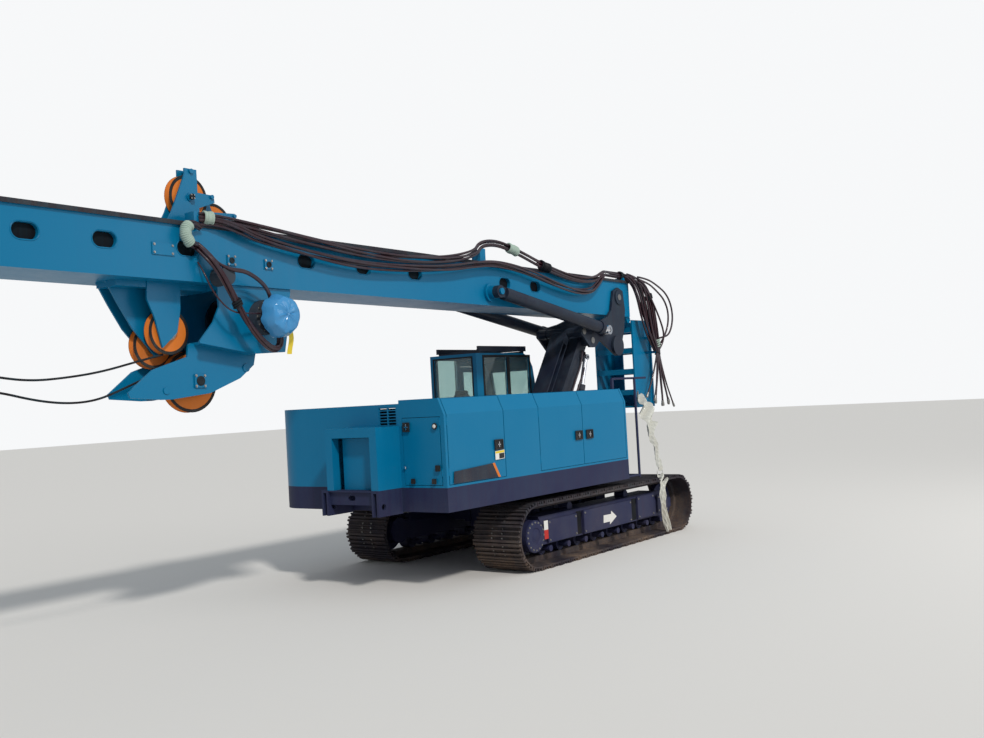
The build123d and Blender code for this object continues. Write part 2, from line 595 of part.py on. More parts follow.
def house():
    """The machinery house with its grille, left doors, rear portal and tank."""
    height = HOUSE_TOP - DECK_TOP
    shell = extrude(Pos(0, 0, DECK_TOP) * house_outline(0), amount=height)
    shell -= extrude(Pos(0, 0, DECK_TOP - 1) * house_outline(WALL), amount=height - WALL + 1)
    shell -= block(BODY_REAR + WALL, HOUSE_FRONT_RIGHT - WALL, HOOD_INNER_Y - 1,
                   HOOD_INNER_Y + WALL + 2, DECK_TOP - 1, HOUSE_TOP - WALL)
    shell -= block(BODY_REAR - 1, BODY_REAR + WALL + 1, GRILLE_Y[0], GRILLE_Y[1], GRILLE_Z[0], GRILLE_Z[1])
    half = BODY_WIDTH / 2
    low, high = DECK_TOP + SILL, HOUSE_TOP - 60
    left_doors = {
        "left_door_rear": (BODY_REAR + REAR_CORNER_RADIUS + 60, -2080.0),
        "left_door_front": (-2080.0, HOUSE_FRONT_LEFT - 50),
    }
    for name, (x0, x1) in left_doors.items():
        shell -= block(x0 + POST_WIDTH / 2, x1 - POST_WIDTH / 2, half - WALL - 1, half + 1, low, high)
        x0, x1 = x0 + POST_WIDTH / 2, x1 - POST_WIDTH / 2
        door = block(x0 + PANEL_GAP, x1 - RUN_GAP, half - WALL, half, low + RUN_GAP, high - RUN_GAP)
        louvre_top = high - 160
        for row in range(9):
            z = louvre_top - row * 50
            door -= block(x0 + 160, x1 - 160, half - WALL - 1, half + 1, z - 12, z + 12)
        fixed, moving = hinge_barrels(x0 + PANEL_GAP / 2, half, HINGE_Z, (-HINGE_REACH, 0, -HINGE_LEAF, 0),
                                      (0, HINGE_REACH, -HINGE_LEAF, 0))
        shell += fixed
        nodes[name] = door + moving
    nodes["machine_house"] = shell
    grille = block(BODY_REAR + 4, BODY_REAR + WALL, GRILLE_Y[0] + FIT_GAP, GRILLE_Y[1] - FIT_GAP,
                   GRILLE_Z[0] + FIT_GAP, GRILLE_Z[1] - FIT_GAP)
    count = int((GRILLE_Z[1] - GRILLE_Z[0] - 20) / LOUVRE_PITCH)
    mid_y = (GRILLE_Y[0] + GRILLE_Y[1]) / 2
    for row in range(count):
        z = GRILLE_Z[0] + 24 + row * LOUVRE_PITCH
        for y0, y1 in ((GRILLE_Y[0] + 14, mid_y - 8), (mid_y + 8, GRILLE_Y[1] - 14)):
            grille -= block(BODY_REAR, BODY_REAR + WALL + 1, y0, y1, z, z + 24)
    nodes["rear_grille"] = grille
    portal = block(PORTAL_REAR, BODY_REAR - FIT_GAP, PORTAL_Y[0], PORTAL_Y[1], DECK_TOP, PORTAL_TOP)
    portal -= block(PORTAL_REAR - 1, BODY_REAR, PORTAL_Y[0] + PORTAL_POST, PORTAL_Y[1] - PORTAL_POST,
                    DECK_TOP - 1, PORTAL_TOP - PORTAL_POST)
    portal -= block(PORTAL_REAR + PORTAL_POST, BODY_REAR - 20, PORTAL_Y[0] + 14, PORTAL_Y[1] - 14,
                    DECK_TOP - 1, PORTAL_TOP - 14)
    nodes["rear_portal"] = portal
    tank = block(PORTAL_REAR + 130, BODY_REAR - FIT_GAP, TANK_Y[0] + 30, TANK_Y[1], DECK_TOP, TANK_TOP)
    nodes["rear_locker"] = tank - block(PORTAL_REAR + 150, BODY_REAR - 20, TANK_Y[0] + 50, TANK_Y[1] - 20,
                                        DECK_TOP + 20, TANK_TOP - 20)
    engine = block(-3250, -2150, -620, 520, DECK_TOP, 2050)
    nodes["engine_block"] = chamfer(engine.edges().filter_by(Axis.X), 90)


def cab_profile(inset):
    """The cab's side outline with its rounded roof front."""
    rear, nose = CAB_REAR + inset, CAB_NOSE - inset
    floor, roof = CAB_FLOOR + inset, CAB_ROOF - inset
    radius = 220 - inset * 0.5
    return [
        (rear, floor), (rear, roof), (nose - 160 - radius, roof), (nose - 160 - radius * 0.35, roof - 60),
        (nose - 140, roof - radius), (nose, WINDOW_SILL - 200), (nose, floor),
    ]


def cab():
    """The hollow cab with its glass, door, roof guard and seat."""
    y0, y1 = CAB_Y
    shell = side_plate(cab_profile(0), y0, y1)
    shell -= side_plate(cab_profile(CAB_WALL), y0 + CAB_WALL, y1 - CAB_WALL)
    sill, head = WINDOW_SILL, WINDOW_HEAD
    openings = {
        "rear": (CAB_REAR - 1, CAB_REAR + CAB_WALL + 1, y0 + 90, y1 - 75, sill, head),
        "right_rear": (CAB_REAR + 190, 255, y0 - 1, y0 + CAB_WALL + 1, sill, head),
        "right_front": (330, CAB_NOSE - 240, y0 - 1, y0 + CAB_WALL + 1, sill - 300, head),
        "left_rear": (CAB_REAR + 130, CAB_DOOR_X[0] - 70, y1 - CAB_WALL - 1, y1 + 1, sill, head),
    }
    panes = None
    for name, (ax, bx, ay, by, az, bz) in openings.items():
        shell -= block(ax, bx, ay, by, az, bz)
        if name == "rear":
            mid = (ax + bx) / 2
            pane = block(mid - GLASS / 2, mid + GLASS / 2, ay + FIT_GAP, by - FIT_GAP, az + FIT_GAP, bz - FIT_GAP)
        else:
            mid = (ay + by) / 2
            pane = block(ax + FIT_GAP, bx - FIT_GAP, mid - GLASS / 2, mid + GLASS / 2, az + FIT_GAP, bz - FIT_GAP)
        panes = pane if panes is None else panes + pane
    front = cab_profile(CAB_WALL / 2)[4:6]
    low, high = along(front[1], front[0], 60), along(front[0], front[1], 40)
    cut = strut(low, high, CAB_WALL, CAB_WALL, y0 + 80, y1 - 80)
    shell -= cut
    panes += strut(along(low, high, FIT_GAP), along(high, low, FIT_GAP), GLASS / 2, GLASS / 2,
                   y0 + 80 + FIT_GAP, y1 - 80 - FIT_GAP)
    door_x, door_z = CAB_DOOR_X, CAB_DOOR_Z
    nose_cut = [(door_x[0], door_z[0]), (door_x[0], door_z[1] - 60), (door_x[0] + 430, door_z[1] - 60),
                (door_x[1] - 110, WINDOW_SILL + 150), (door_x[1], WINDOW_SILL - 200), (door_x[1], door_z[0])]
    shell -= side_plate(nose_cut, y1 - CAB_WALL - 1, y1 + 1)
    door = offset_outline(nose_cut, RUN_GAP, y1 - CAB_WALL + 5, y1)
    window = [(x, max(z, 1750.0)) for x, z in nose_cut]
    window_cut = offset_outline(window, 90, y1 - CAB_WALL, y1 + 1)
    fixed, moving = hinge_barrels(door_x[0] + PANEL_GAP / 2, y1, (1560, 2560), (-HINGE_REACH, 0, -HINGE_LEAF, 0),
                                  (0, HINGE_REACH, -HINGE_LEAF, 0))
    shell += fixed
    nodes["cab_door"] = door - window_cut - block(door_x[0], door_x[0] + PANEL_GAP, y1 - CAB_WALL, y1 + 1,
                                                  door_z[0], door_z[1]) + moving
    nodes["cab_door_glass"] = offset_outline(window, 90 + FIT_GAP, y1 - 26, y1 - 26 + GLASS)
    nodes["cab_shell"] = shell
    nodes["cab_glass"] = panes
    floor = CAB_FLOOR + CAB_WALL
    rear = CAB_REAR
    seat = block(rear + 220, rear + 730, y0 + 280, y1 - 280, floor + 300, floor + 430)
    seat += block(rear + 110, rear + 230, y0 + 280, y1 - 280, floor + 300, floor + 1050)
    seat += block(rear + 290, rear + 650, y0 + 340, y1 - 340, floor + 120, floor + 300)
    nodes["cab_seat"] = seat
    sides = (y0 + 90, y0 + 230, y1 - 230, y1 - 90)
    console = block(rear + 250, rear + 770, sides[0], sides[1], floor, floor + 560)
    console += block(rear + 250, rear + 770, sides[2], sides[3], floor, floor + 560)
    console += block(rear + 251, rear + 769, sides[1] - 1, sides[2] + 1, floor, floor + 120 - FIT_GAP)
    for y in ((sides[0] + sides[1]) / 2, (sides[2] + sides[3]) / 2):
        console += bar((rear + 690, y, floor + 555), (rear + 710, y, floor + 730), 22)
    nodes["cab_console"] = console
    guard_front = CAB_NOSE - 260
    guard = block(rear + 120, guard_front, y0 + 30, y1 - 30, CAB_ROOF + 30, CAB_ROOF + 60)
    for x in range(5):
        across = rear + 200 + x * (guard_front - rear - 280) / 4
        guard -= block(across - 80, across + 80, y0 + 80, y1 - 80, CAB_ROOF + 29, CAB_ROOF + 61)
    for x in (rear + 160, guard_front - 40):
        guard += block(x - 20, x + 20, y0 + 60, y1 - 60, CAB_ROOF, CAB_ROOF + 31)
    for y in (y0 + 50, y1 - 50):
        guard += block(rear + 120, guard_front, y - 20, y + 20, CAB_ROOF + 59, CAB_ROOF + 110)
    nodes["cab_roof_guard"] = guard
    nodes["cab_mounts"] = cab_mounts()


def offset_outline(points, inset, y0, y1):
    """The outline moved inwards by a distance, given its thickness along Y."""
    wire = Polyline([(x, 0, z) for x, z in points], close=True)
    face = offset(make_face(wire), amount=-inset, kind=Kind.INTERSECTION)
    return Pos(0, y0, 0) * extrude(face, amount=y1 - y0, dir=(0, 1, 0))


def cab_mounts():
    pads = None
    for x in (CAB_REAR + 100, CAB_NOSE - 100):
        for y in (CAB_Y[0] + 90, CAB_Y[1] - 90):
            pad = Pos(x, y, (DECK_TOP + CAB_FLOOR) / 2) * Cylinder(55, CAB_FLOOR - DECK_TOP)
            pads = pad if pads is None else pads + pad
    return pads


def handrail():
    """The tube rail and step at the right front corner of the deck."""
    y = -BODY_WIDTH / 2 + 60
    front = HOOD_FRONT
    rail = bar((850, y, 930), (850, y, 2400), 19)
    rail += bar((front + FIT_GAP, y, 960), (850, y, 960), 16)
    rail += bar((850, y, 960), (850, y + 500, 960), 16)
    rail += bar((front + FIT_GAP, y + 500, 960), (850, y + 500, 960), 16)
    top = HOOD_TOP + 145
    rail += bar((300, y + 60, top), (1190, y, top), 16)
    rail += block(280, 330, y + 45, y + 75, HOOD_TOP, top + 5)
    nodes["handrail"] = rail


def boom_group():
    """Boom, link, support frame and the luffing cylinders."""
    foot, head = BOOM_FOOT, BOOM_HEAD
    half = BOOM_HALF_WIDTH
    deep, shallow = BOOM_DEPTH
    boom = strut(foot, head, deep, shallow, -half, half)
    boom -= strut(along(foot, head, 260), along(head, foot, 260), deep - BOOM_WALL, shallow - BOOM_WALL,
                  -half + BOOM_WALL, half - BOOM_WALL)
    for point in (foot, head):
        boom += disc_y(point[0], point[1], BOOM_EYE_RADIUS, -half, half)
    for point in (foot, head):
        boom -= disc_y(point[0], point[1], BOOM_PIN_RADIUS + PIN_GAP, -half - 1, half + 1)
    eye = LUFF_EYE
    boom += both_sides(disc_y(eye[0], eye[1], 70, half - 30, LUFF_Y - EYE_WIDTH / 2 - RUN_GAP))
    nodes["boom"] = boom
    link_foot = (foot[0] + LINK_OFFSET[0], foot[1] + LINK_OFFSET[1])
    link_head = (head[0] + LINK_OFFSET[0], head[1] + LINK_OFFSET[1])
    link = strut(link_foot, link_head, LINK_DEPTH_HALF, LINK_DEPTH_HALF, -LINK_HALF_WIDTH, LINK_HALF_WIDTH)
    for point in (link_foot, link_head):
        link += disc_y(point[0], point[1], LINK_EYE_RADIUS, -half, half)
    link -= strut(along(link_foot, link_head, 220), along(link_head, link_foot, 220), LINK_DEPTH_HALF - 20,
                  LINK_DEPTH_HALF - 20, -LINK_HALF_WIDTH - 1, LINK_HALF_WIDTH + 1)
    for point in (link_foot, link_head):
        link -= disc_y(point[0], point[1], BOOM_PIN_RADIUS + PIN_GAP, -half - 1, half + 1)
    nodes["boom_link"] = link
    inner, outer = SUPPORT_INNER_Y, SUPPORT_INNER_Y + SUPPORT_WALL
    pin = MAST_PIN
    rod_pin = MAST_ROD_PIN
    bulge_x, bulge_z, bulge_radius = SUPPORT_BULGE
    outline = [
        (link_head[0] - 90, link_head[1] - 40), (link_head[0] - 10, link_head[1] - 100),
        (head[0] - 80, head[1] - 110), (head[0] + 70, head[1] - 110), (rod_pin[0] - 60, rod_pin[1] - 150),
        (bulge_x - 130, bulge_z - 100), (bulge_x, bulge_z - bulge_radius), (bulge_x + 150, bulge_z - 80),
        (pin[0] + 140, pin[1] - 500), (pin[0] + 195, pin[1] - 200), (pin[0] + 150, pin[1] + 110),
        (pin[0], pin[1] + 165), (pin[0] - 150, pin[1] + 100), (pin[0] - 250, pin[1] - 220),
        (pin[0] - 380, pin[1] - 330), (rod_pin[0], rod_pin[1] + 170), (head[0] - 120, head[1] + 250),
        (link_head[0] - 10, link_head[1] + 95), (link_head[0] - 80, link_head[1] + 50),
    ]
    support = both_sides(side_plate(outline, inner, outer))
    seat = outer + FIT_GAP
    bosses = both_sides(disc_y(bulge_x, bulge_z, bulge_radius, seat, outer + 50))
    bosses += both_sides(disc_y(pin[0], pin[1], 120, seat, outer + 20))
    bosses += disc_y(rod_pin[0], rod_pin[1], 90, -inner + FIT_GAP, inner - FIT_GAP)
    pins = disc_y(head[0], head[1], BOOM_PIN_RADIUS, -outer - 8, outer + 8)
    pins += disc_y(link_head[0], link_head[1], BOOM_PIN_RADIUS, -outer - 8, outer + 8)
    for point in (head, link_head):
        bosses += both_sides(disc_y(point[0], point[1], 85, half + RUN_GAP, inner - FIT_GAP))
    boss_end = MAST_CYLINDER_Y - MAST_ROD_RADIUS - RUN_GAP
    bosses += both_sides(disc_y(rod_pin[0], rod_pin[1], 95, seat, boss_end))
    bosses += both_sides(disc_y(pin[0], pin[1], 62, MAST_HALF_WIDTH + 4, inner - FIT_GAP))
    for point in (head, link_head):
        bore = disc_y(point[0], point[1], BOOM_PIN_RADIUS + FIT_GAP, -outer - 80, outer + 80)
        support -= bore
        bosses -= bore
    bore = disc_y(pin[0], pin[1], BOOM_PIN_RADIUS + PIN_GAP, -outer - 80, outer + 80)
    nodes["support_frame"] = support - bore
    nodes["support_bosses"] = bosses - bore
    pins += disc_y(pin[0], pin[1], BOOM_PIN_RADIUS, -outer - 25, outer + 25)
    nodes["support_pins"] = pins


def cylinder(foot, eye, y, barrel_radius, rod_radius, rod_show, names, foot_pin):
    """A hydraulic cylinder's barrel, bored at its foot pin, and its rod with an open eye."""
    half = EYE_WIDTH / 2
    eye_radius = barrel_radius * 0.95
    gland = along(eye, foot, rod_show)
    start = along(foot, eye, barrel_radius * 1.2)
    barrel = bar((start[0], y, start[1]), (gland[0], y, gland[1]), barrel_radius)
    barrel += strut(foot, along(foot, eye, barrel_radius * 1.2 + 5), eye_radius * 0.8, eye_radius * 0.8,
                    y - half, y + half)
    collar = along(gland, foot, 90)
    barrel += bar((collar[0], y, collar[1]), (gland[0], y, gland[1]), barrel_radius * 1.14)
    barrel += disc_y(foot[0], foot[1], eye_radius, y - half, y + half)
    bore_end = along(foot, eye, barrel_radius * 1.2 + 60)
    over = along(gland, foot, -20)
    barrel -= bar((bore_end[0], y, bore_end[1]), (over[0], y, over[1]), rod_radius + SLIDE_GAP)
    barrel -= disc_y(foot[0], foot[1], foot_pin + PIN_GAP, y - half - 1, y + half + 1)
    rod_start = along(foot, eye, barrel_radius * 1.2 + 80)
    rod = bar((rod_start[0], y, rod_start[1]), (eye[0], y, eye[1]), rod_radius)
    rod += disc_y(eye[0], eye[1], eye_radius * 0.85, y - half, y + half)
    rod -= disc_y(eye[0], eye[1], foot_pin * 0.8, y - half - 1, y + half + 1)
    nodes[names[0]] = barrel
    nodes[names[1]] = rod


def cylinders():
    """Two luffing cylinders, and two mast cylinders whose barrels hang on the mast."""
    for foot, eye, y, radius, rod_radius, show, names, pin in (
        (LUFF_FOOT, LUFF_EYE, -LUFF_Y, LUFF_BARREL_RADIUS, LUFF_ROD_RADIUS, LUFF_ROD_SHOWN,
         ("luff_barrels", "luff_rods"), LUFF_PIN_RADIUS),
        (leaned_point(*MAST_BARREL_PIN), MAST_ROD_PIN, -MAST_CYLINDER_Y, MAST_BARREL_RADIUS,
         MAST_ROD_RADIUS, MAST_ROD_SHOWN, ("mast_barrels", "mast_rods"), CYLINDER_PIN_RADIUS),
    ):
        cylinder(foot, eye, y, radius, rod_radius, show, names, pin)
        for name in names:
            nodes[name] = both_sides(nodes[name])
    pin_in = LUFF_Y - EYE_WIDTH / 2 - 20
    ear_in = BOOM_HALF_WIDTH + RUN_GAP + EAR_OFFSET
    luff_pins = both_sides(disc_y(LUFF_FOOT[0], LUFF_FOOT[1], LUFF_PIN_RADIUS, pin_in, ear_in + 1))
    nodes["upper_frame"] += luff_pins


def mast():
    """The mast's box with its rails, slots and foot eyes, and the lower section."""
    px, pz = MAST_PIN
    front, rear = MAST_FRONT_X, MAST_REAR_X
    half = MAST_HALF_WIDTH
    under, over = pz - MAST_UNDER, pz + MAST_OVER
    beam = block(rear, front, -half, half, under, over)
    beam -= block(rear + 200, front - 560, -half + MAST_WALL, half - MAST_WALL,
                  under + MAST_WALL, over - MAST_WALL)
    slot_z = pz + SLOT_OVER
    for x in SLOT_X:
        for side in (-1, 1):
            y0, y1 = sorted((side * (half - 3), side * (half - SLOT_DEPTH - 12)))
            beam += block(x - 200, x + 200, y0, y1, slot_z - 110, slot_z + 110)
            slot = Rot(90, 0, 0) * extrude(SlotOverall(SLOT_LENGTH, SLOT_HEIGHT), amount=SLOT_DEPTH, both=True)
            beam -= Pos(x, side * half, slot_z) * slot
    rails = block(rear, front - 20, -half - 22, -half - 22 + RAIL_WIDTH, over, over + RAIL_HEIGHT)
    rails = rails + mirrored(rails)
    beam += rails
    beam -= disc_y(px, pz, BOOM_PIN_RADIUS + FIT_GAP, -half - 1, half + 1)
    barrel_x, barrel_z = MAST_BARREL_PIN
    boss_end = MAST_CYLINDER_Y - EYE_WIDTH / 2 - RUN_GAP
    pin_end = MAST_CYLINDER_Y + EYE_WIDTH / 2 + 25
    beam += both_sides(disc_y(barrel_x, barrel_z, 130, half - 5, half + 40))
    beam += both_sides(disc_y(barrel_x, barrel_z, 95, half + 35, boss_end))
    beam += both_sides(disc_y(barrel_x, barrel_z, CYLINDER_PIN_RADIUS, boss_end - 5, pin_end))
    slot_x, _, slot_radius, slot_y = TOP_SHEAVES[1]
    beam -= block(slot_x - slot_radius, slot_x + slot_radius, slot_y - SHEAVE_WIDTH / 2 - BRACKET_GAP,
                  slot_y + SHEAVE_WIDTH / 2 + BRACKET_GAP, over - MAST_WALL - 1, over + 1)
    ears = block(front - 80, front, -half + 40, -half + 140, under - 2, under + 60)
    beam += both_sides(ears)
    hinge_x, hinge_z = fold_pin()
    for y0, y1 in ((-half + 40, -half + 140), (half - 140, half - 40)):
        beam += disc_y(hinge_x, hinge_z, FOLD_EAR_RADIUS, y0, y1)
        beam += block(hinge_x - 90, hinge_x, y0, y1, hinge_z, under + 5)
    ear_room = FOLD_EAR_RADIUS + RUN_GAP
    beam -= both_sides(disc_y(hinge_x, hinge_z, ear_room, half - 246, half - 140))
    beam -= disc_y(hinge_x, hinge_z, 30 + PIN_GAP, -half - 1, half + 1)
    nodes["mast_beam"] = leaned(beam)
    drop = under - hinge_z
    hinge_x, hinge_z = leaned_point(hinge_x, hinge_z)
    top = hinge_z - LOWER_MAST_GAP / 2
    x0 = hinge_x + drop
    x1 = x0 + MAST_UNDER + MAST_OVER
    base = LOWER_MAST_BASE
    lower = block(x0, x1, -half, half, base, top)
    lower -= block(x0 - 1, x1 - 2 * MAST_WALL, -half + 2 * MAST_WALL, half - 2 * MAST_WALL,
                   base + 2 * MAST_WALL, top + 1)
    rails = block(x1, x1 + RAIL_HEIGHT, -half - 22, -half - 22 + RAIL_WIDTH, base, top - 30)
    lower += rails + mirrored(rails)
    for step in range(4):
        z = base + 260 + step * (top - base - 420) / 3
        lower += block(x0 + 10, x0 + 80, -half + 1, half - 1, z - 45, z + 45)
        if step < 3:
            middle = z + (top - base - 420) / 6
            lower -= block(x1 - 100, x1 + 1, -150, 150, middle - 130, middle + 130)
    for y0, y1 in ((-half + 146, -half + 240), (half - 240, half - 146)):
        lower += disc_y(hinge_x, hinge_z, FOLD_EAR_RADIUS - 4, y0, y1)
        lower += block(hinge_x, x0 + 60, y0, y1, top - 120, hinge_z)
    lower -= both_sides(disc_y(hinge_x, hinge_z, ear_room, half - 146, half - 34))
    for side in (-1, 1):
        y0, y1 = sorted((side * (half - 245), side * (half - 45)))
        lower += disc_y(hinge_x, hinge_z, 30, y0, y1)
    nodes["lower_mast"] = lower


def fold_pin():
    """The hinge between the mast's foot end and its lower section."""
    return (MAST_FRONT_X + LOWER_MAST_GAP / 2, MAST_PIN[1] - MAST_UNDER - 40)


def winch_group():
    """The winch frame under the mast, its drum, sheaves and the sheaves on top."""
    under = MAST_PIN[1] - MAST_UNDER
    y0, y1 = WINCH_PLATE_Y - WINCH_PLATE, WINCH_PLATE_Y
    upper = [
        (-5828, under), (-5814, 3223), (-5892, 3062), (-6070, 2860), (-6070, 2840), (-5368, 2738),
        (-4939, 2763), (-4882, 3044), (-4830, under),
    ]
    lower = [
        (-6090, 2830), (-6108, 2709), (-6467, 2595), (-6526, 2574), (-6804, 2351), (-6783, 2301),
        (-6423, 2275), (-6303, 2277), (-5833, 2333), (-5435, 2487), (-5247, 2630), (-5218, 2750),
        (-5368, 2755), (-6060, 2850),
    ]
    near_guide = [
        (-6546, under), (-6555, 3284), (-6473, 3105), (-6389, 2796), (-6330, 2850), (-6210, 2960),
        (-6164, 3189), (-6157, under),
    ]
    far_guide = [
        (-6900, under), (-6774, 3241), (-6622, 3003), (-6358, 2716), (-6240, 2838), (-6164, 3189),
        (-6157, under),
    ]
    floor = [(-6020, 2858), (-5368, 2763), (-5368, 2738), (-6020, 2833)]
    frame = both_sides(side_plate(upper, y0, y1))
    frame += both_sides(side_plate(lower, LOWER_PLATE_Y - WINCH_PLATE, LOWER_PLATE_Y))
    frame += side_plate(floor, -y0 - 1, y0 + 1)
    for y, shape in zip(GUIDE_PLATE_Y, (near_guide, far_guide, far_guide)):
        frame += side_plate(shape, y - GUIDE_PLATE / 2, y + GUIDE_PLATE / 2)
    frame += block(-6890, -5765, GUIDE_PLATE_Y[0], GUIDE_PLATE_Y[2], under - 60, under)
    frame += block(-5820, -5760, -y0 - 1, y0 + 1, under - 60, under)
    frame += block(-4950, -4840, -y0 - 1, y0 + 1, under - 30, under)
    for x, z, radius in ((-6374, 2366, 35), (-5357, 2598, 45)):
        frame += disc_y(x, z, radius, -LOWER_PLATE_Y - 12, LOWER_PLATE_Y + 12)
    for (x, z, _, y), ends in zip(GUIDE_SHEAVES, ((0, 1), (-1, 0))):
        frame += disc_y(x, z, SHEAVE_AXLE_RADIUS, ends[0] * GUIDE_PLATE_Y[2], ends[1] * GUIDE_PLATE_Y[2])
    low_x, low_z, _ = LOW_SHEAVE
    frame += disc_y(low_x, low_z, SHEAVE_AXLE_RADIUS, -LOWER_PLATE_Y - 15, LOWER_PLATE_Y + 15)
    frame += both_sides(disc_y(low_x, low_z, 90, SHEAVE_WIDTH / 2 + RUN_GAP, LOWER_PLATE_Y - WINCH_PLATE + 1))
    drum_x, drum_z = DRUM_AT
    frame += both_sides(disc_y(drum_x, drum_z, 70, y0 - 75, y1))
    nodes["winch_frame"] = leaned(frame)
    motor = disc_y(drum_x, drum_z, MOTOR_RADIUS[0], -y1 - MOTOR_LENGTH[0], -y1 - FIT_GAP)
    motor += disc_y(drum_x, drum_z, MOTOR_RADIUS[1], -y1 - sum(MOTOR_LENGTH), -y1 - MOTOR_LENGTH[0] + 1)
    motor += disc_y(-5847, 3520, 95, -MAST_HALF_WIDTH - 180, -MAST_HALF_WIDTH - FIT_GAP)
    nodes["winch_motors"] = leaned(motor)
    drum = disc_y(drum_x, drum_z, DRUM_RADIUS, -y0 + 60, y0 - 60)
    drum += both_sides(disc_y(drum_x, drum_z, DRUM_FLANGE_RADIUS, y0 - 60, y0 - 35))
    drum -= disc_y(drum_x, drum_z, 70 + PIN_GAP, -y0, y0)
    nodes["winch_drum"] = leaned(drum)
    nodes["sheave_low"] = leaned(sheave(low_x, low_z, LOW_SHEAVE[2], 0))
    for index, (x, z, radius, y) in enumerate(GUIDE_SHEAVES):
        nodes[f"sheave_guide_{index + 1}"] = leaned(sheave(x, z, radius, y))
    nodes["top_bracket"] = leaned(top_bracket())
    for index, (x, z, radius, y) in enumerate(TOP_SHEAVES):
        nodes[f"sheave_top_{index + 1}"] = leaned(sheave(x, z, radius, y))


def top_bracket():
    """Three cheeks on the mast's top face that hold the two upper sheaves."""
    base = MAST_PIN[1] + MAST_OVER
    (high_x, high_z, _, high_y), (low_x, low_z, _, low_y) = TOP_SHEAVES
    reach = SHEAVE_WIDTH / 2 + BRACKET_GAP
    near = high_y - reach - BRACKET_PLATE
    middle = high_y + reach
    far = low_y + reach
    high = [
        (high_x - 330, base), (high_x - 230, high_z - 170), (high_x - 60, high_z + 235),
        (high_x - 60, high_z + 300), (high_x + 90, high_z + 300), (high_x + 95, high_z + 60),
        (high_x + 300, high_z + 55), (high_x + 310, high_z - 20), (high_x + 110, high_z - 100), (high_x + 110, base),
    ]
    low = [
        (low_x - 260, base), (low_x - 200, low_z + 60), (low_x - 160, low_z + 280), (low_x - 100, low_z + 280),
        (low_x - 30, low_z + 130), (low_x + 270, low_z + 150), (low_x + 290, low_z + 90), (low_x + 200, low_z + 60),
        (low_x + 210, base),
    ]
    bracket = side_plate(high, near, near + BRACKET_PLATE)
    bracket += side_plate(high, middle, middle + BRACKET_PLATE)
    bracket += side_plate(low, middle, middle + BRACKET_PLATE)
    bracket += side_plate(low, far, far + BRACKET_PLATE)
    bracket += disc_y(high_x, high_z, SHEAVE_AXLE_RADIUS, near - 12, middle + BRACKET_PLATE)
    bracket += disc_y(low_x, low_z, SHEAVE_AXLE_RADIUS, middle, far + BRACKET_PLATE + 12)
    bracket += disc_y(high_x + 15, high_z + 275, 25, near - 20, middle + BRACKET_PLATE + 20)
    bracket += disc_y(low_x - 130, low_z + 262, 22, near - 20, far + BRACKET_PLATE + 20)
    bracket += disc_y(low_x + 262, low_z + 120, 20, middle - 20, far + BRACKET_PLATE + 20)
    return bracket


def head_frame():
    """The mast's head with its two sheaves, folded down at the rear end."""
    hinge_x, hinge_z = head_pin()
    y0, y1 = HEAD_PLATE_Y - HEAD_PLATE, HEAD_PLATE_Y
    low = hinge_z - HEAD_LENGTH
    outline = [
        (hinge_x - 70, hinge_z), (hinge_x, hinge_z + 75), (hinge_x + 70, hinge_z),
        (hinge_x + 260, low + 560), (hinge_x + 260, low + 160), (hinge_x + 60, low),
        (hinge_x - 200, low + 60), (hinge_x - 190, low + 500),
    ]
    frame = both_sides(side_plate(outline, y0, y1))
    axle = (hinge_x + 30, low + 260)
    frame += disc_y(axle[0], axle[1], SHEAVE_AXLE_RADIUS, -y1 - 20, y1 + 20)
    frame += disc_y(hinge_x - 60, low + 640, 50, -y0 - 1, y0 + 1)
    frame += disc_y(hinge_x, hinge_z, 40, -y1 - 20, y1 + 20)
    nodes["head_frame"] = leaned(frame)
    wheels = sheave(axle[0], axle[1], HEAD_SHEAVE_RADIUS, -100) + sheave(axle[0], axle[1], HEAD_SHEAVE_RADIUS, 100)
    wheels += ring_y(axle[0], axle[1], 80, SHEAVE_AXLE_RADIUS + PIN_GAP, -60, 60)
    nodes["head_sheaves"] = leaned(wheels)
    ear = None
    for side in (-1, 1):
        a, b = sorted((side * (y1 + RUN_GAP), side * (y1 + RUN_GAP + 30)))
        one = disc_y(hinge_x, hinge_z, 75, a, b)
        one += block(hinge_x, MAST_REAR_X + 260, a, b, hinge_z - 70, MAST_PIN[1] - MAST_UNDER + 2)
        ear = one if ear is None else ear + one
    ear -= disc_y(hinge_x, hinge_z, 40 + PIN_GAP, -y1 - 60, y1 + 60)
    beam = nodes["mast_beam"] + leaned(ear)
    nodes["mast_beam"] = beam


def head_pin():
    """The hinge of the folded mast head."""
    return (MAST_REAR_X + 60, MAST_PIN[1] - MAST_UNDER - 90)


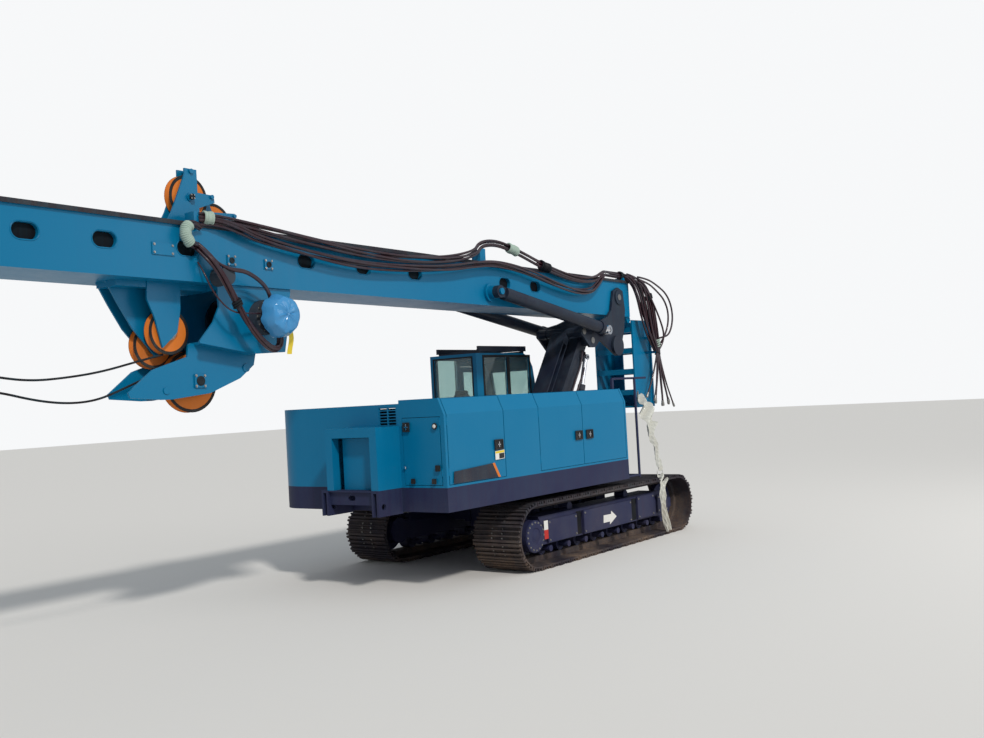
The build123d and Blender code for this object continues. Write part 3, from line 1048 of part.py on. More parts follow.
def hoses():
    """Hose bundles on the mast's top edge, over its foot, and those hanging free."""
    over = MAST_PIN[1] + MAST_OVER
    y = -MAST_HALF_WIDTH + 60
    route = [
        (-6060, y, over + 190), (-5200, y - 40, over + 130), (-3900, y - 50, over + 118),
        (-2600, y - 40, over + 130), (-1330, y, over + 260), (-300, y - 20, over + 240),
        (900, y - 40, over + 120), (1900, y - 40, over + 110), (2560, y, over + 120)]
    nodes["mast_hoses"] = leaned(hose(route, HOSE_BUNDLE_RADIUS))
    nodes["hose_brackets"] = leaned(hose_brackets() - hose(route, HOSE_BUNDLE_RADIUS + FIT_GAP))
    side = -MAST_HALF_WIDTH - 200
    arms = None
    for z in (2850, 3100):
        arm = block(3150, 3210, side, -MAST_HALF_WIDTH - FIT_GAP, z - 20, z + 20)
        arms = arm if arms is None else arms + arm
    foot_route = [
        (2700, side, over + 40), (2900, side, over - 60), (3080, side, 3700), (3160, side, 3350),
        (3200, side, 3060), (3215, side, 2800)]
    nodes["foot_hoses"] = hose(foot_route, HOSE_BUNDLE_RADIUS)
    nodes["hose_arms"] = arms - hose(foot_route, HOSE_BUNDLE_RADIUS + FIT_GAP)


def hose_brackets():
    over = MAST_PIN[1] + MAST_OVER + RAIL_HEIGHT
    brackets = None
    for x, top in ((-6060, 150), (-1330, 215), (2560, 80)):
        y = -MAST_HALF_WIDTH + 60
        post = block(x - 60, x + 60, y - 75, y + 75, over, over + top - 30)
        brackets = post if brackets is None else brackets + post
    return brackets


def export():
    """Move every piece into the row's frame and write it."""
    os.makedirs("parts", exist_ok=True)
    for name, shape in nodes.items():
        export_step(Pos(ROW_SHIFT_X, 0, 0) * shape, f"parts/{name}.step")
        print(name, len(shape.solids()))


def model_ends():
    """The lowest and highest X of all pieces, from the slew axis."""
    boxes = [shape.bounding_box() for shape in nodes.values()]
    return min(b.min.X for b in boxes), max(b.max.X for b in boxes)


undercarriage()
deck()
hood()
house()
cab()
handrail()
boom_group()
cylinders()
mast()
winch_group()
head_frame()
hoses()
low_x, high_x = model_ends()
ROW_SHIFT_X = -(low_x + high_x) / 2
print("row shift", ROW_SHIFT_X, low_x, high_x)
export()
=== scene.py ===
"""Rotary drilling rig in transport pose, dressed over its CAD solids.

Metres, +X to the front of the machine, +Y to its left, ground at Z = 0. Places are
measured from the slew axis and moved into the row's frame by here() and on_mast().
"""
import json
import math

import bmesh
import bpy
from mathutils import Matrix, Vector


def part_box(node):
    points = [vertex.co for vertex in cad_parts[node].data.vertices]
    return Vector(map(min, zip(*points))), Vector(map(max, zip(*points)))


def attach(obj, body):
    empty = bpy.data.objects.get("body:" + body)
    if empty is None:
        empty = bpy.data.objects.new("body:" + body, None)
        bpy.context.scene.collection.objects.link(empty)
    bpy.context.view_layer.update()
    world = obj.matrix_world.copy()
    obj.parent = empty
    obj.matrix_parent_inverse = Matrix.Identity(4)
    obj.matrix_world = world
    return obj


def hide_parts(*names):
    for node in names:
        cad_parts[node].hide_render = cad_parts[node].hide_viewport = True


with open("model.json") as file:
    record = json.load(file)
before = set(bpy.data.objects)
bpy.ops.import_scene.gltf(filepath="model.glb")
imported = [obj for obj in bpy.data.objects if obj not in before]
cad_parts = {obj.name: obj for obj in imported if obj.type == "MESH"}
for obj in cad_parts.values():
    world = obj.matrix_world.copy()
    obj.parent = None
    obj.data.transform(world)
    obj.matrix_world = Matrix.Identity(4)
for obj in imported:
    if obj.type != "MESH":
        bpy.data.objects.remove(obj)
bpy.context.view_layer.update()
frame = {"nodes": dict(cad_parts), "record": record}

bl_info = {
    "name": "Rotary drilling rig",
    "version": (1, 2, 0),
    "blender": (4, 5, 0),
    "location": "View3D > Sidebar > Drilling Rig",
    "description": "Dresses the packed drilling rig with paint, steel, hoses and small fittings",
    "category": "Object",
}

NODES = frame["nodes"]


def box_of(node):
    """Low and high corner of a CAD node."""
    low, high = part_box(node)
    return Vector(low), Vector(high)


def middle_of(node):
    low, high = box_of(node)
    return (low + high) / 2


SLEW_X = middle_of("slew_ring_outer").x
MAST_PIN_X, MAST_PIN_Z = 2.25, 3.76
MAST_LEAN = math.radians(0.69)
MAST_TOP = MAST_PIN_Z + 0.262
MAST_SIDE = 0.378
RAIL_SIDE = 0.400
MAST_ALONG = Vector((math.cos(MAST_LEAN), 0, -math.sin(MAST_LEAN)))
MAST_UP = Vector((math.sin(MAST_LEAN), 0, math.cos(MAST_LEAN)))
X_AXIS, Y_AXIS, Z_AXIS = Vector((1, 0, 0)), Vector((0, 1, 0)), Vector((0, 0, 1))
SIDES = (-1, 1)
SMOOTH_BELOW = math.radians(38)
COAT_ROUGHNESS = 0.12
GLOSS_LEVEL = 0.18


def here(x, y, z):
    """A point given from the slew axis, in the row's frame."""
    return Vector((x + SLEW_X, y, z))


def on_mast(x, y, z):
    """A point of the level mast, leaned about its foot pin."""
    return here(MAST_PIN_X, y, MAST_PIN_Z) + MAST_ALONG * (x - MAST_PIN_X) + MAST_UP * (z - MAST_PIN_Z)


def linear(red, green, blue):
    """A colour of 0 to 255 steps as the shader's linear values."""
    return tuple((c / 255) ** 2.2 for c in (red, green, blue))


def rgba(colour):
    return (*colour[:3], 1.0)


class RigPaint(bpy.types.PropertyGroup):
    """Colours of the machine's finishes."""

    body: bpy.props.FloatVectorProperty(
        name="Body paint", description="Teal of the house, cab and mast",
        subtype="COLOR", size=3, default=linear(0, 107, 148), min=0, max=1)
    frame: bpy.props.FloatVectorProperty(
        name="Frame paint", description="Dark grey of the skirt and track frames",
        subtype="COLOR", size=3, default=linear(40, 42, 70), min=0, max=1)
    boom: bpy.props.FloatVectorProperty(
        name="Boom paint", description="Near black of the boom, support frame and cylinders",
        subtype="COLOR", size=3, default=linear(30, 34, 50), min=0, max=1)
    sheave: bpy.props.FloatVectorProperty(
        name="Sheave paint", description="Orange of the rope wheels",
        subtype="COLOR", size=3, default=linear(206, 112, 38), min=0, max=1)
    dust: bpy.props.FloatVectorProperty(
        name="Dust", description="Dried earth on the tracks and lower edges",
        subtype="COLOR", size=3, default=linear(150, 122, 98), min=0, max=1)


class RigStage(bpy.types.PropertyGroup):
    """Camera, floor and light."""

    focal_length: bpy.props.FloatProperty(
        name="Focal length", description="Lens that matches the photograph's framing",
        default=37.957, min=10, max=200, unit="CAMERA")
    floor_size: bpy.props.FloatProperty(
        name="Floor size", description="Side of the square floor",
        default=160.0, min=20, max=400, unit="LENGTH")
    sun_strength: bpy.props.FloatProperty(
        name="Sun strength", description="Power of the main light", default=2.0, min=0, max=10)


class RigSizes(bpy.types.PropertyGroup):
    """Sizes of the fittings that scene pieces repeat."""

    hose_diameter: bpy.props.FloatProperty(
        name="Hose diameter", description="Outside of one hydraulic hose of a bundle",
        default=0.031, min=0.01, max=0.06, unit="LENGTH")
    rope_diameter: bpy.props.FloatProperty(
        name="Rope diameter", description="Winch rope", default=0.022, min=0.01, max=0.04, unit="LENGTH")


def feed(tree, target, value):
    """Links an output, or a node's first output, to an input; any other value is set there."""
    if isinstance(value, bpy.types.Node):
        value = value.outputs[0]
    if isinstance(value, bpy.types.NodeSocket):
        tree.links.new(value, target)
    else:
        target.default_value = value


def feed_named(tree, node, **values):
    for key, value in values.items():
        feed(tree, node.inputs[key.replace("_", " ")], value)


def add(tree, kind, *inputs, **values):
    """Adds a node: its first inputs in order, and its properties and other inputs by name."""
    node = tree.nodes.new(kind)
    for key, value in values.items():
        if hasattr(node, key) and key not in node.inputs:
            setattr(node, key, value)
        else:
            feed_named(tree, node, **{key: value})
    for target, value in zip(node.inputs, inputs):
        feed(tree, target, value)
    return node


def calculated(tree, operation, *inputs, clamp=False):
    return add(tree, "ShaderNodeMath", *inputs, operation=operation, use_clamp=clamp)


def times(tree, first, second):
    return calculated(tree, "MULTIPLY", first, second)


def between(tree, value, low, high, start=0.0, end=1.0):
    """Runs from start to end while the value runs from low to high."""
    return add(tree, "ShaderNodeMapRange", Value=value, From_Min=low, From_Max=high, To_Min=start, To_Max=end)


def mixed(tree, share, first, second, blend="MIX"):
    """The second colour over the first, as strongly as the share says."""
    node = add(tree, "ShaderNodeMix", data_type="RGBA", blend_type=blend, Factor=share)
    first_socket, second_socket, colour_output = 6, 7, 2
    feed(tree, node.inputs[first_socket], first)
    feed(tree, node.inputs[second_socket], second)
    return node.outputs[colour_output]


def noise(tree, place, scale, detail, roughness=0.5):
    return add(tree, "ShaderNodeTexNoise", Vector=place, Scale=scale, Detail=detail, Roughness=roughness)


def new_group(name, kind, takes, gives):
    """A node group with its sockets: each a name, a kind of value and, where it has one, a default."""
    tree = bpy.data.node_groups.new(name, kind)
    for way, sockets in (("INPUT", takes), ("OUTPUT", gives)):
        for label, value, *default in sockets:
            item = tree.interface.new_socket(label, in_out=way, socket_type=f"NodeSocket{value}")
            if default:
                item.default_value = default[0]
    return tree, tree.nodes.new("NodeGroupInput").outputs, tree.nodes.new("NodeGroupOutput")


def weathering_group():
    """Paint with soft fading, rain streaks and dust that thickens towards the ground."""
    tree, given, result = new_group("Weathered surface", "ShaderNodeTree", (
        ("Paint", "Color", (0.1, 0.1, 0.1, 1)), ("Dust", "Color", (0.4, 0.3, 0.2, 1)), ("Fade", "Float", 0.2),
        ("Dust Amount", "Float", 0.3), ("Dust Height", "Float", 1.0), ("Roughness", "Float", 0.4),
    ), (("Color", "Color"), ("Roughness", "Float"), ("Height", "Float")))
    place = add(tree, "ShaderNodeTexCoord").outputs["Object"]
    mottle = noise(tree, place, 1.7, 5.0, 0.6)
    streak = noise(tree, add(tree, "ShaderNodeMapping", Vector=place, Scale=(9.0, 9.0, 0.55)), 1.6, 4.0, 0.7)
    grit = noise(tree, place, 60.0, 3.0, 0.7)
    fading = times(tree, between(tree, times(tree, mottle, streak), 0.16, 0.36), given["Fade"])
    chalk = mixed(tree, fading, (0, 0, 0, 1), (0.004, 0.030, 0.040, 1))
    faded = mixed(tree, 1.0, given["Paint"], chalk, "SCREEN")
    height = add(tree, "ShaderNodeSeparateXYZ", place).outputs["Z"]
    fall = between(tree, calculated(tree, "DIVIDE", height, given["Dust Height"]), 0.0, 1.0, 1.0, 0.08)
    dust = times(tree, times(tree, fall, between(tree, mottle, 0.38, 0.68)),
                 between(tree, grit, 0.4, 0.62, 0.35, 1.0))
    dust = calculated(tree, "MULTIPLY", dust, given["Dust Amount"], clamp=True)
    rougher = calculated(tree, "MULTIPLY_ADD", dust, 0.5, given["Roughness"], clamp=True)
    feed_named(tree, result, Color=mixed(tree, dust, faded, given["Dust"]),
               Roughness=calculated(tree, "MULTIPLY_ADD", fading, 0.35, rougher, clamp=True),
               Height=calculated(tree, "MULTIPLY_ADD", grit, 0.4, dust))
    return tree


# Colour, or the name of the panel's paint, then fade, dust, height of the dust, roughness,
# metallic, coat, strength and size of the relief, and the record's material slot
FINISHES = {
    "Teal paint": ("body", 0.2, 0.03, 2.6, 0.32, 0.0, 0.0, 0.08, 0.002, "teal_paint"),
    "Frame paint": ("frame", 0.3, 0.16, 1.3, 0.5, 0.0, 0.0, 0.2, 0.002, "dark_paint"),
    "Boom paint": ("boom", 0.5, 0.2, 4.5, 0.42, 0.0, 0.15, 0.15, 0.002, "dark_paint"),
    "Sheave paint": ("sheave", 0.5, 0.15, 5.0, 0.45, 0.0, 0.0, 0.15, 0.002, "sheave_paint"),
    "Track steel": ((56, 50, 56), 0.8, 0.8, 1.1, 0.6, 0.35, 0.0, 0.6, 0.004, "track_steel"),
    "Machined steel": ((140, 138, 136), 0.4, 0.3, 3.0, 0.35, 0.9, 0.0, 0.15, 0.002, "pin_steel"),
    "Rod chrome": ((214, 216, 222), 0.1, 0.05, 1.6, 0.14, 1.0, 0.0, 0.0, 0.002, "rod_chrome"),
    "Cast iron": ((62, 66, 74), 0.6, 0.4, 1.6, 0.6, 0.2, 0.0, 0.5, 0.003, "cast_block"),
    "Hose rubber": ((52, 26, 34), 0.7, 0.12, 5.0, 0.36, 0.0, 0.5, 0.25, 0.002, "hose_rubber"),
    "Moulded plastic": ((30, 30, 34), 0.5, 0.3, 3.0, 0.5, 0.0, 0.0, 0.15, 0.001, "trim_plastic"),
    "Seat cloth": ((46, 48, 56), 0.8, 0.15, 1.6, 0.9, 0.0, 0.0, 0.7, 0.002, "seat_cloth"),
    "Rail wear strip": ((40, 34, 42), 0.9, 0.3, 6.0, 0.5, 0.0, 0.0, 0.15, 0.002, "dark_paint"),
    "Wheel rim": ((32, 26, 26), 0.8, 0.3, 6.0, 0.55, 0.0, 0.0, 0.15, 0.002, "sheave_paint"),
    "Winch rope": ((44, 42, 44), 0.7, 0.1, 1.6, 0.5, 0.5, 0.0, 0.6, 0.002, "pin_steel"),
    "Plastic film": ((196, 196, 188), 0.9, 0.8, 2.2, 0.3, 0.0, 0.4, 0.6, 0.01, "trim_plastic"),
    "Blue film": ((62, 132, 186), 0.9, 0.1, 1.6, 0.25, 0.0, 0.5, 0.6, 0.01, "trim_plastic"),
    "Yellow tag": ((216, 190, 60), 0.4, 0.3, 1.6, 0.5, 0.0, 0.0, 0.15, 0.002, "trim_plastic"),
    "White mark": ((216, 216, 212), 0.2, 0.3, 1.6, 0.5, 0.0, 0.0, 0.15, 0.002, "trim_plastic"),
    "Red mark": ((176, 40, 36), 0.3, 0.3, 1.6, 0.5, 0.0, 0.0, 0.15, 0.002, "trim_plastic"),
    "Slot shadow": ((12, 14, 22), 0.3, 0.1, 1.6, 0.8, 0.0, 0.0, 0.15, 0.002, "dark_paint"),
    "Pale binding": ((158, 176, 164), 0.8, 0.2, 5.0, 0.7, 0.0, 0.0, 0.15, 0.002, "trim_plastic"),
}
BOOM_NODES = ("boom", "boom_link", "support_frame", "support_bosses", "luff_barrels", "mast_barrels",
              "winch_drum", "cab_roof_guard")
# The first finish of each slot is the one that CAD nodes wear
FINISH_OF_SLOT = {"cab_glazing": "Cab glazing"}
for finish_name, row in FINISHES.items():
    FINISH_OF_SLOT.setdefault(row[-1], finish_name)


def new_material(name):
    """A material with its tree and its main shader."""
    material = bpy.data.materials.new(name)
    material.use_nodes = True
    return material, material.node_tree, material.node_tree.nodes["Principled BSDF"]


def finish(name):
    """A material of the weathered surface with its row of values."""
    paint, fade, dust, dust_height, roughness, metallic, coat, relief, relief_size, _ = FINISHES[name]
    colours = bpy.context.scene.rig_paint
    paint = getattr(colours, paint) if isinstance(paint, str) else linear(*paint)
    material, tree, shader = new_material(name)
    surface = add(tree, "ShaderNodeGroup",
                  node_tree=bpy.data.node_groups.get("Weathered surface") or weathering_group(),
                  Paint=rgba(paint), Dust=rgba(colours.dust), Fade=fade, Dust_Amount=dust,
                  Dust_Height=dust_height, Roughness=roughness)
    bumps = add(tree, "ShaderNodeBump", Strength=relief, Distance=relief_size,
                Height=surface.outputs["Height"])
    feed_named(tree, shader, Metallic=metallic, Coat_Weight=coat, Coat_Roughness=COAT_ROUGHNESS,
               Specular_IOR_Level=GLOSS_LEVEL, Base_Color=surface.outputs["Color"],
               Roughness=surface.outputs["Roughness"], Normal=bumps)
    return material


def cab_glazing():
    """Tinted clear glass with a faint smear."""
    material, tree, shader = new_material("Cab glazing")
    smear = noise(tree, add(tree, "ShaderNodeTexCoord").outputs["Object"], 3.0, 4.0)
    feed_named(tree, shader, Metallic=0.0, Transmission_Weight=0.92, IOR=1.45,
               Base_Color=mixed(tree, smear, rgba(linear(214, 232, 228)), rgba(linear(188, 214, 212))),
               Roughness=between(tree, smear, 0.4, 0.7, 0.02, 0.10))
    return material


def material_of(name):
    """The material of that name, made when it is first asked for."""
    if name in bpy.data.materials:
        return bpy.data.materials[name]
    return cab_glazing() if name == "Cab glazing" else finish(name)


def rectangle(low, high):
    """Outline of a rectangle between two corners."""
    return [(low[0], low[1]), (high[0], low[1]), (high[0], high[1]), (low[0], high[1])]


def centred(half_width, half_height):
    """Outline of a rectangle about its middle."""
    return rectangle((-half_width, -half_height), (half_width, half_height))


def racetrack(length, height, steps=8):
    """Outline of a slot with round ends, about its middle."""
    radius = height / 2
    reach = length / 2 - radius
    outline = []
    for side, start in ((1, -math.pi / 2), (-1, math.pi / 2)):
        for step in range(steps + 1):
            angle = start + math.pi * step / steps
            outline.append((side * reach + radius * math.cos(angle), radius * math.sin(angle)))
    return outline


def ring_of(radius, count, start=0.0):
    """Outline of a circle, or the places of bolts round it."""
    turn = 2 * math.pi / count
    return [(radius * math.cos(start + turn * i), radius * math.sin(start + turn * i)) for i in range(count)]


def join_rings(form, rings):
    """Faces between each ring of corners and the next."""
    for low, high in zip(rings, rings[1:]):
        for i in range(len(low)):
            form.faces.new((low[i - 1], low[i], high[i], high[i - 1]))


def join_rows(form, rows):
    """Faces of an open sheet between each row of corners and the next."""
    for low, high in zip(rows, rows[1:]):
        for i in range(len(low) - 1):
            form.faces.new((low[i], low[i + 1], high[i + 1], high[i]))


def prism(form, outline, origin, along, across, depth):
    """A closed plate: the outline's steps along and across, pushed out by depth."""
    out = along.cross(across).normalized() * depth
    near = [form.verts.new(origin + along * a + across * b) for a, b in outline]
    far = [form.verts.new(vertex.co + out) for vertex in near]
    form.faces.new(near[::-1])
    form.faces.new(far)
    join_rings(form, (near, far))


def frame_plate(form, low, high, border, origin, along, across, depth):
    """A closed rectangular frame round an opening, its border outside the opening."""
    out = along.cross(across).normalized() * depth
    outer = rectangle((low[0] - border, low[1] - border), (high[0] + border, high[1] + border))
    rings = [[form.verts.new(origin + along * a + across * b + lift) for a, b in outline]
             for outline, lift in ((outer, Vector()), (outer, out), (rectangle(low, high), out),
                                   (rectangle(low, high), Vector()))]
    join_rings(form, (*rings, rings[0]))


def revolved(form, profile, centre, axis, steps=28):
    """A closed turned part: the profile's (radius, height) steps about an axis."""
    side = axis.orthogonal().normalized()
    other = axis.cross(side)
    rings = []
    for radius, height in profile:
        middle = centre + axis * height
        places = [(0, 0)] if radius == 0 else ring_of(radius, steps)
        rings.append([form.verts.new(middle + (side * a + other * b)) for a, b in places])
    for low, high in zip(rings, rings[1:]):
        for i in range(steps):
            corners = [low[i % len(low)], low[(i + 1) % len(low)],
                       high[(i + 1) % len(high)], high[i % len(high)]]
            form.faces.new(list(dict.fromkeys(corners)))


def frames_along(line, side=Y_AXIS):
    """A steady pair of cross directions at each point of a line."""
    frames = []
    for i in range(len(line)):
        ahead = (line[min(i + 1, len(line) - 1)] - line[max(i - 1, 0)]).normalized()
        side = side - ahead * side.dot(ahead)
        if side.length < 1e-4:
            side = ahead.orthogonal()
        side = side.normalized()
        frames.append((side, ahead.cross(side)))
    return frames


def tube(form, line, radius, sides=8):
    """A closed tube round a line of points."""
    rings = [[form.verts.new(point + side * a + other * b) for a, b in ring_of(radius, sides)]
             for point, (side, other) in zip(line, frames_along(line))]
    join_rings(form, rings)
    form.faces.new(rings[0][::-1])
    form.faces.new(rings[-1])


def enter(name, data):
    """A new object in the scene."""
    thing = bpy.data.objects.new(name, data)
    bpy.context.scene.collection.objects.link(thing)
    return thing


def settle(name, data, body, material):
    """Puts a finished piece in the scene with its finish, on its body."""
    piece = enter(name.replace(" ", "_"), data)
    data.materials.clear()
    data.materials.append(material_of(material))
    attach(piece, body)
    return piece


def made(name, form, body, material, bevel=0.0):
    """Closes a mesh, turns its faces out, rounds its edges and puts it on its body."""
    bmesh.ops.remove_doubles(form, verts=form.verts, dist=1e-5)
    bmesh.ops.recalc_face_normals(form, faces=form.faces)
    if bevel:
        least_angle = 0.6
        sharp = [edge for edge in form.edges if edge.is_manifold and edge.calc_face_angle(0) > least_angle]
        bmesh.ops.bevel(form, geom=sharp, offset=bevel, segments=2, affect="EDGES", clamp_overlap=True)
    mesh = bpy.data.meshes.new(name)
    form.to_mesh(mesh)
    form.free()
    mesh.shade_smooth()
    mesh.set_sharp_from_angle(angle=SMOOTH_BELOW)
    return settle(name, mesh, body, material)


def mark(name, outline, origin, along, depth, body, material):
    """One thin upright plate that is a piece of its own."""
    form = bmesh.new()
    prism(form, outline, origin, along, Z_AXIS, depth)
    made(name, form, body, material)


def route_curve(name, points, radius=0.0):
    """A NURBS curve with the route's points as its control points."""
    curve = bpy.data.curves.new(name, "CURVE")
    curve.dimensions = "3D"
    curve.resolution_u = 10
    curve.bevel_depth = radius
    curve.bevel_resolution = 3
    curve.use_fill_caps = True
    spline = curve.splines.new("NURBS")
    spline.points.add(len(points) - 1)
    for target, point in zip(spline.points, points):
        target.co = (*point, 1)
    spline.order_u = 3
    spline.use_endpoint_u = True
    return curve


def smooth_line(points):
    """The points of the smooth line along a route."""
    carrier = enter("Line", route_curve("Line", points))
    mesh = bpy.data.meshes.new_from_object(carrier)
    line = [vertex.co.copy() for vertex in mesh.vertices]
    bpy.data.objects.remove(carrier)
    bpy.data.meshes.remove(mesh)
    return line


def length_of(line):
    return sum((b - a).length for a, b in zip(line, line[1:]))


def hose(name, points, radius, body, material="Hose rubber"):
    """One free hose or rope on a smooth curve."""
    piece = settle(name, route_curve(name, points, radius), body, material)
    tuple(points[0])
    length_of(smooth_line(points))


def bundle(name, points, count, tall, wide, body, twist, replaces=()):
    """Several hoses that run together, crossing slowly, on one smooth line."""
    line = smooth_line(points)
    frames = frames_along(line)
    radius = bpy.context.scene.rig_sizes.hose_diameter / 2
    travelled = [0.0]
    for a, b in zip(line, line[1:]):
        travelled.append(travelled[-1] + (b - a).length)
    form = bmesh.new()
    for strand in range(count):
        phase = 2 * math.pi * strand / count
        path = []
        for point, (side, other), run in zip(line, frames, travelled):
            angle = phase + twist * run + 0.35 * math.sin(1.1 * run + 2.0 * strand)
            path.append(point + side * wide * math.cos(angle) + other * tall * math.sin(angle))
        tube(form, path, radius)
    piece = made(name, form, body, "Hose rubber")
    tuple(line[0])
    [tuple(p) for p in line]
    if replaces:
        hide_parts(*replaces)


def film(name, form, flat, body, material):
    bmesh.ops.recalc_face_normals(form, faces=form.faces)
    area = sum(face.calc_area() for face in form.faces)
    bmesh.ops.solidify(form, geom=form.faces[:], thickness=0.002)
    piece = made(name, form, body, material)


def route(points, y=None):
    """Route points from the slew axis, with one Y for all where they have none."""
    return [here(p[0], y, p[1]) if y is not None else here(*p) for p in points]


# Bolts that the pieces ask for: body, then place, direction out and head radius
BOLTS = {}


def bolt(body, place, out, radius):
    BOLTS.setdefault(body, []).append((place, out, radius))


def corner_bolts(body, middle, reach, rise, out, radius):
    """A bolt at each corner of a plate that lies along the mast."""
    for a in SIDES:
        for b in SIDES:
            bolt(body, middle + MAST_ALONG * a * reach + MAST_UP * b * rise, out, radius)


def spread(tree, given, result, points, shape, **values):
    """Ends a tree: the shape at each point, made real and given its finish."""
    placed = add(tree, "GeometryNodeInstanceOnPoints", Points=points, Instance=shape, **values)
    real = add(tree, "GeometryNodeRealizeInstances", placed)
    feed(tree, result.inputs[0],
         add(tree, "GeometryNodeSetMaterial", Geometry=real, Material=given["Finish"]))
    return tree


def attribute(tree, name, kind):
    return add(tree, "GeometryNodeInputNamedAttribute", data_type=kind, Name=name)


def facing_turn(tree):
    """The rotation that stands a shape along its point's facing."""
    return add(tree, "FunctionNodeAlignRotationToVector", axis="Z",
               Vector=attribute(tree, "facing", "FLOAT_VECTOR"))


def bolt_head_nodes():
    """Geometry nodes: a hexagon head on its washer at each point, along its facing."""
    tree, given, result = new_group("Bolt heads", "GeometryNodeTree", (
        ("Geometry", "Geometry"), ("Head Height", "Float", 0.7), ("Washer Radius", "Float", 1.35),
        ("Finish", "Material")), (("Geometry", "Geometry"),))
    height = given["Head Height"]
    head = add(tree, "GeometryNodeMeshCylinder", Vertices=6, Radius=1.0, Depth=height)
    lift = add(tree, "ShaderNodeCombineXYZ", Z=calculated(tree, "MULTIPLY_ADD", height, 0.5, 0.2))
    washer = add(tree, "GeometryNodeMeshCylinder", Vertices=12, Depth=0.4, Radius=given["Washer Radius"])
    raised = add(tree, "GeometryNodeTransform", Geometry=head, Translation=lift)
    joined = add(tree, "GeometryNodeJoinGeometry", raised)
    feed(tree, joined.inputs[0], washer)
    return spread(tree, given, result, given["Geometry"], joined, Rotation=facing_turn(tree),
                  Scale=attribute(tree, "size", "FLOAT"))


def shoe_rib_nodes():
    """Geometry nodes: a tapered rib across the shoe at each point, standing along its facing."""
    tree, given, result = new_group("Shoe ribs", "GeometryNodeTree", (
        ("Geometry", "Geometry"), ("Half Length", "Float", 0.35), ("Height", "Float", 0.03),
        ("Foot Width", "Float", 0.026), ("Crest Width", "Float", 0.014), ("Finish", "Material")),
        (("Geometry", "Geometry"),))
    line = add(tree, "GeometryNodeCurvePrimitiveLine",
               Start=add(tree, "ShaderNodeCombineXYZ", Y=times(tree, given["Half Length"], -1.0)),
               End=add(tree, "ShaderNodeCombineXYZ", Y=given["Half Length"]))
    section = add(tree, "GeometryNodeCurvePrimitiveQuadrilateral", mode="TRAPEZOID", Height=given["Height"],
                  Bottom_Width=given["Foot Width"], Top_Width=given["Crest Width"], Offset=0.0)
    rib = add(tree, "GeometryNodeCurveToMesh", Curve=line, Profile_Curve=section, Fill_Caps=True)
    upright = add(tree, "GeometryNodeTransform", Geometry=rib, Rotation=(0, math.pi, 0),
                  Translation=add(tree, "ShaderNodeCombineXYZ", Z=times(tree, given["Height"], 0.5)))
    return spread(tree, given, result, given["Geometry"], upright, Rotation=facing_turn(tree))


def rope_turn_nodes():
    """Geometry nodes: turns of rope side by side round the Z axis."""
    tree, given, result = new_group("Rope turns", "GeometryNodeTree", (
        ("Geometry", "Geometry"), ("Turns", "Int", 20), ("Pitch", "Float", 0.022),
        ("Rope Radius", "Float", 0.011), ("Coil Radius", "Float", 0.2), ("Finish", "Material")),
        (("Geometry", "Geometry"),))
    places = add(tree, "GeometryNodeMeshLine", Count=given["Turns"],
                 Offset=add(tree, "ShaderNodeCombineXYZ", Z=given["Pitch"]))
    coil, rope = (add(tree, "GeometryNodeCurvePrimitiveCircle", Resolution=steps, Radius=given[radius])
                  for steps, radius in ((40, "Coil Radius"), (8, "Rope Radius")))
    turn = add(tree, "GeometryNodeCurveToMesh", Curve=coil, Profile_Curve=rope)
    return spread(tree, given, result, places, turn)


def grown(name, seed_mesh, tree, values):
    """The plain mesh that a node tree makes from a seed mesh."""
    seed = enter(name, seed_mesh)
    modifier = seed.modifiers.new("Make", "NODES")
    modifier.node_group = tree
    for item in tree.interface.items_tree:
        if item.in_out == "INPUT" and item.name in values:
            modifier[item.identifier] = values[item.name]
    mesh = bpy.data.meshes.new_from_object(seed.evaluated_get(bpy.context.evaluated_depsgraph_get()))
    bpy.data.objects.remove(seed)
    mesh.name = name
    return mesh


def seeded(name, rows, tree, body, material, values):
    """A piece grown from rows of place, direction out and size."""
    seed = bpy.data.meshes.new("Places")
    seed.from_pydata([tuple(place) for place, _, _ in rows], [], [])
    seed.attributes.new("facing", "FLOAT_VECTOR", "POINT")
    seed.attributes.new("size", "FLOAT", "POINT")
    for i, (_, out, size) in enumerate(rows):
        seed.attributes["facing"].data[i].vector = out
        seed.attributes["size"].data[i].value = size
    settle(name, grown(name, seed, tree, {**values, "Finish": material_of(material)}), body, material)


class RIG_OT_finishes(bpy.types.Operator):
    """Gives every CAD node its finish"""

    bl_idname = "rig.finishes"
    bl_label = "Finishes"

    def execute(self, context):
        for part in frame["record"]["subparts"]:
            node = NODES[part["node"]]
            name = "Boom paint" if part["node"] in BOOM_NODES else FINISH_OF_SLOT[part["material_slot"]]
            node.data.materials.clear()
            node.data.materials.append(material_of(name))
        return {"FINISHED"}


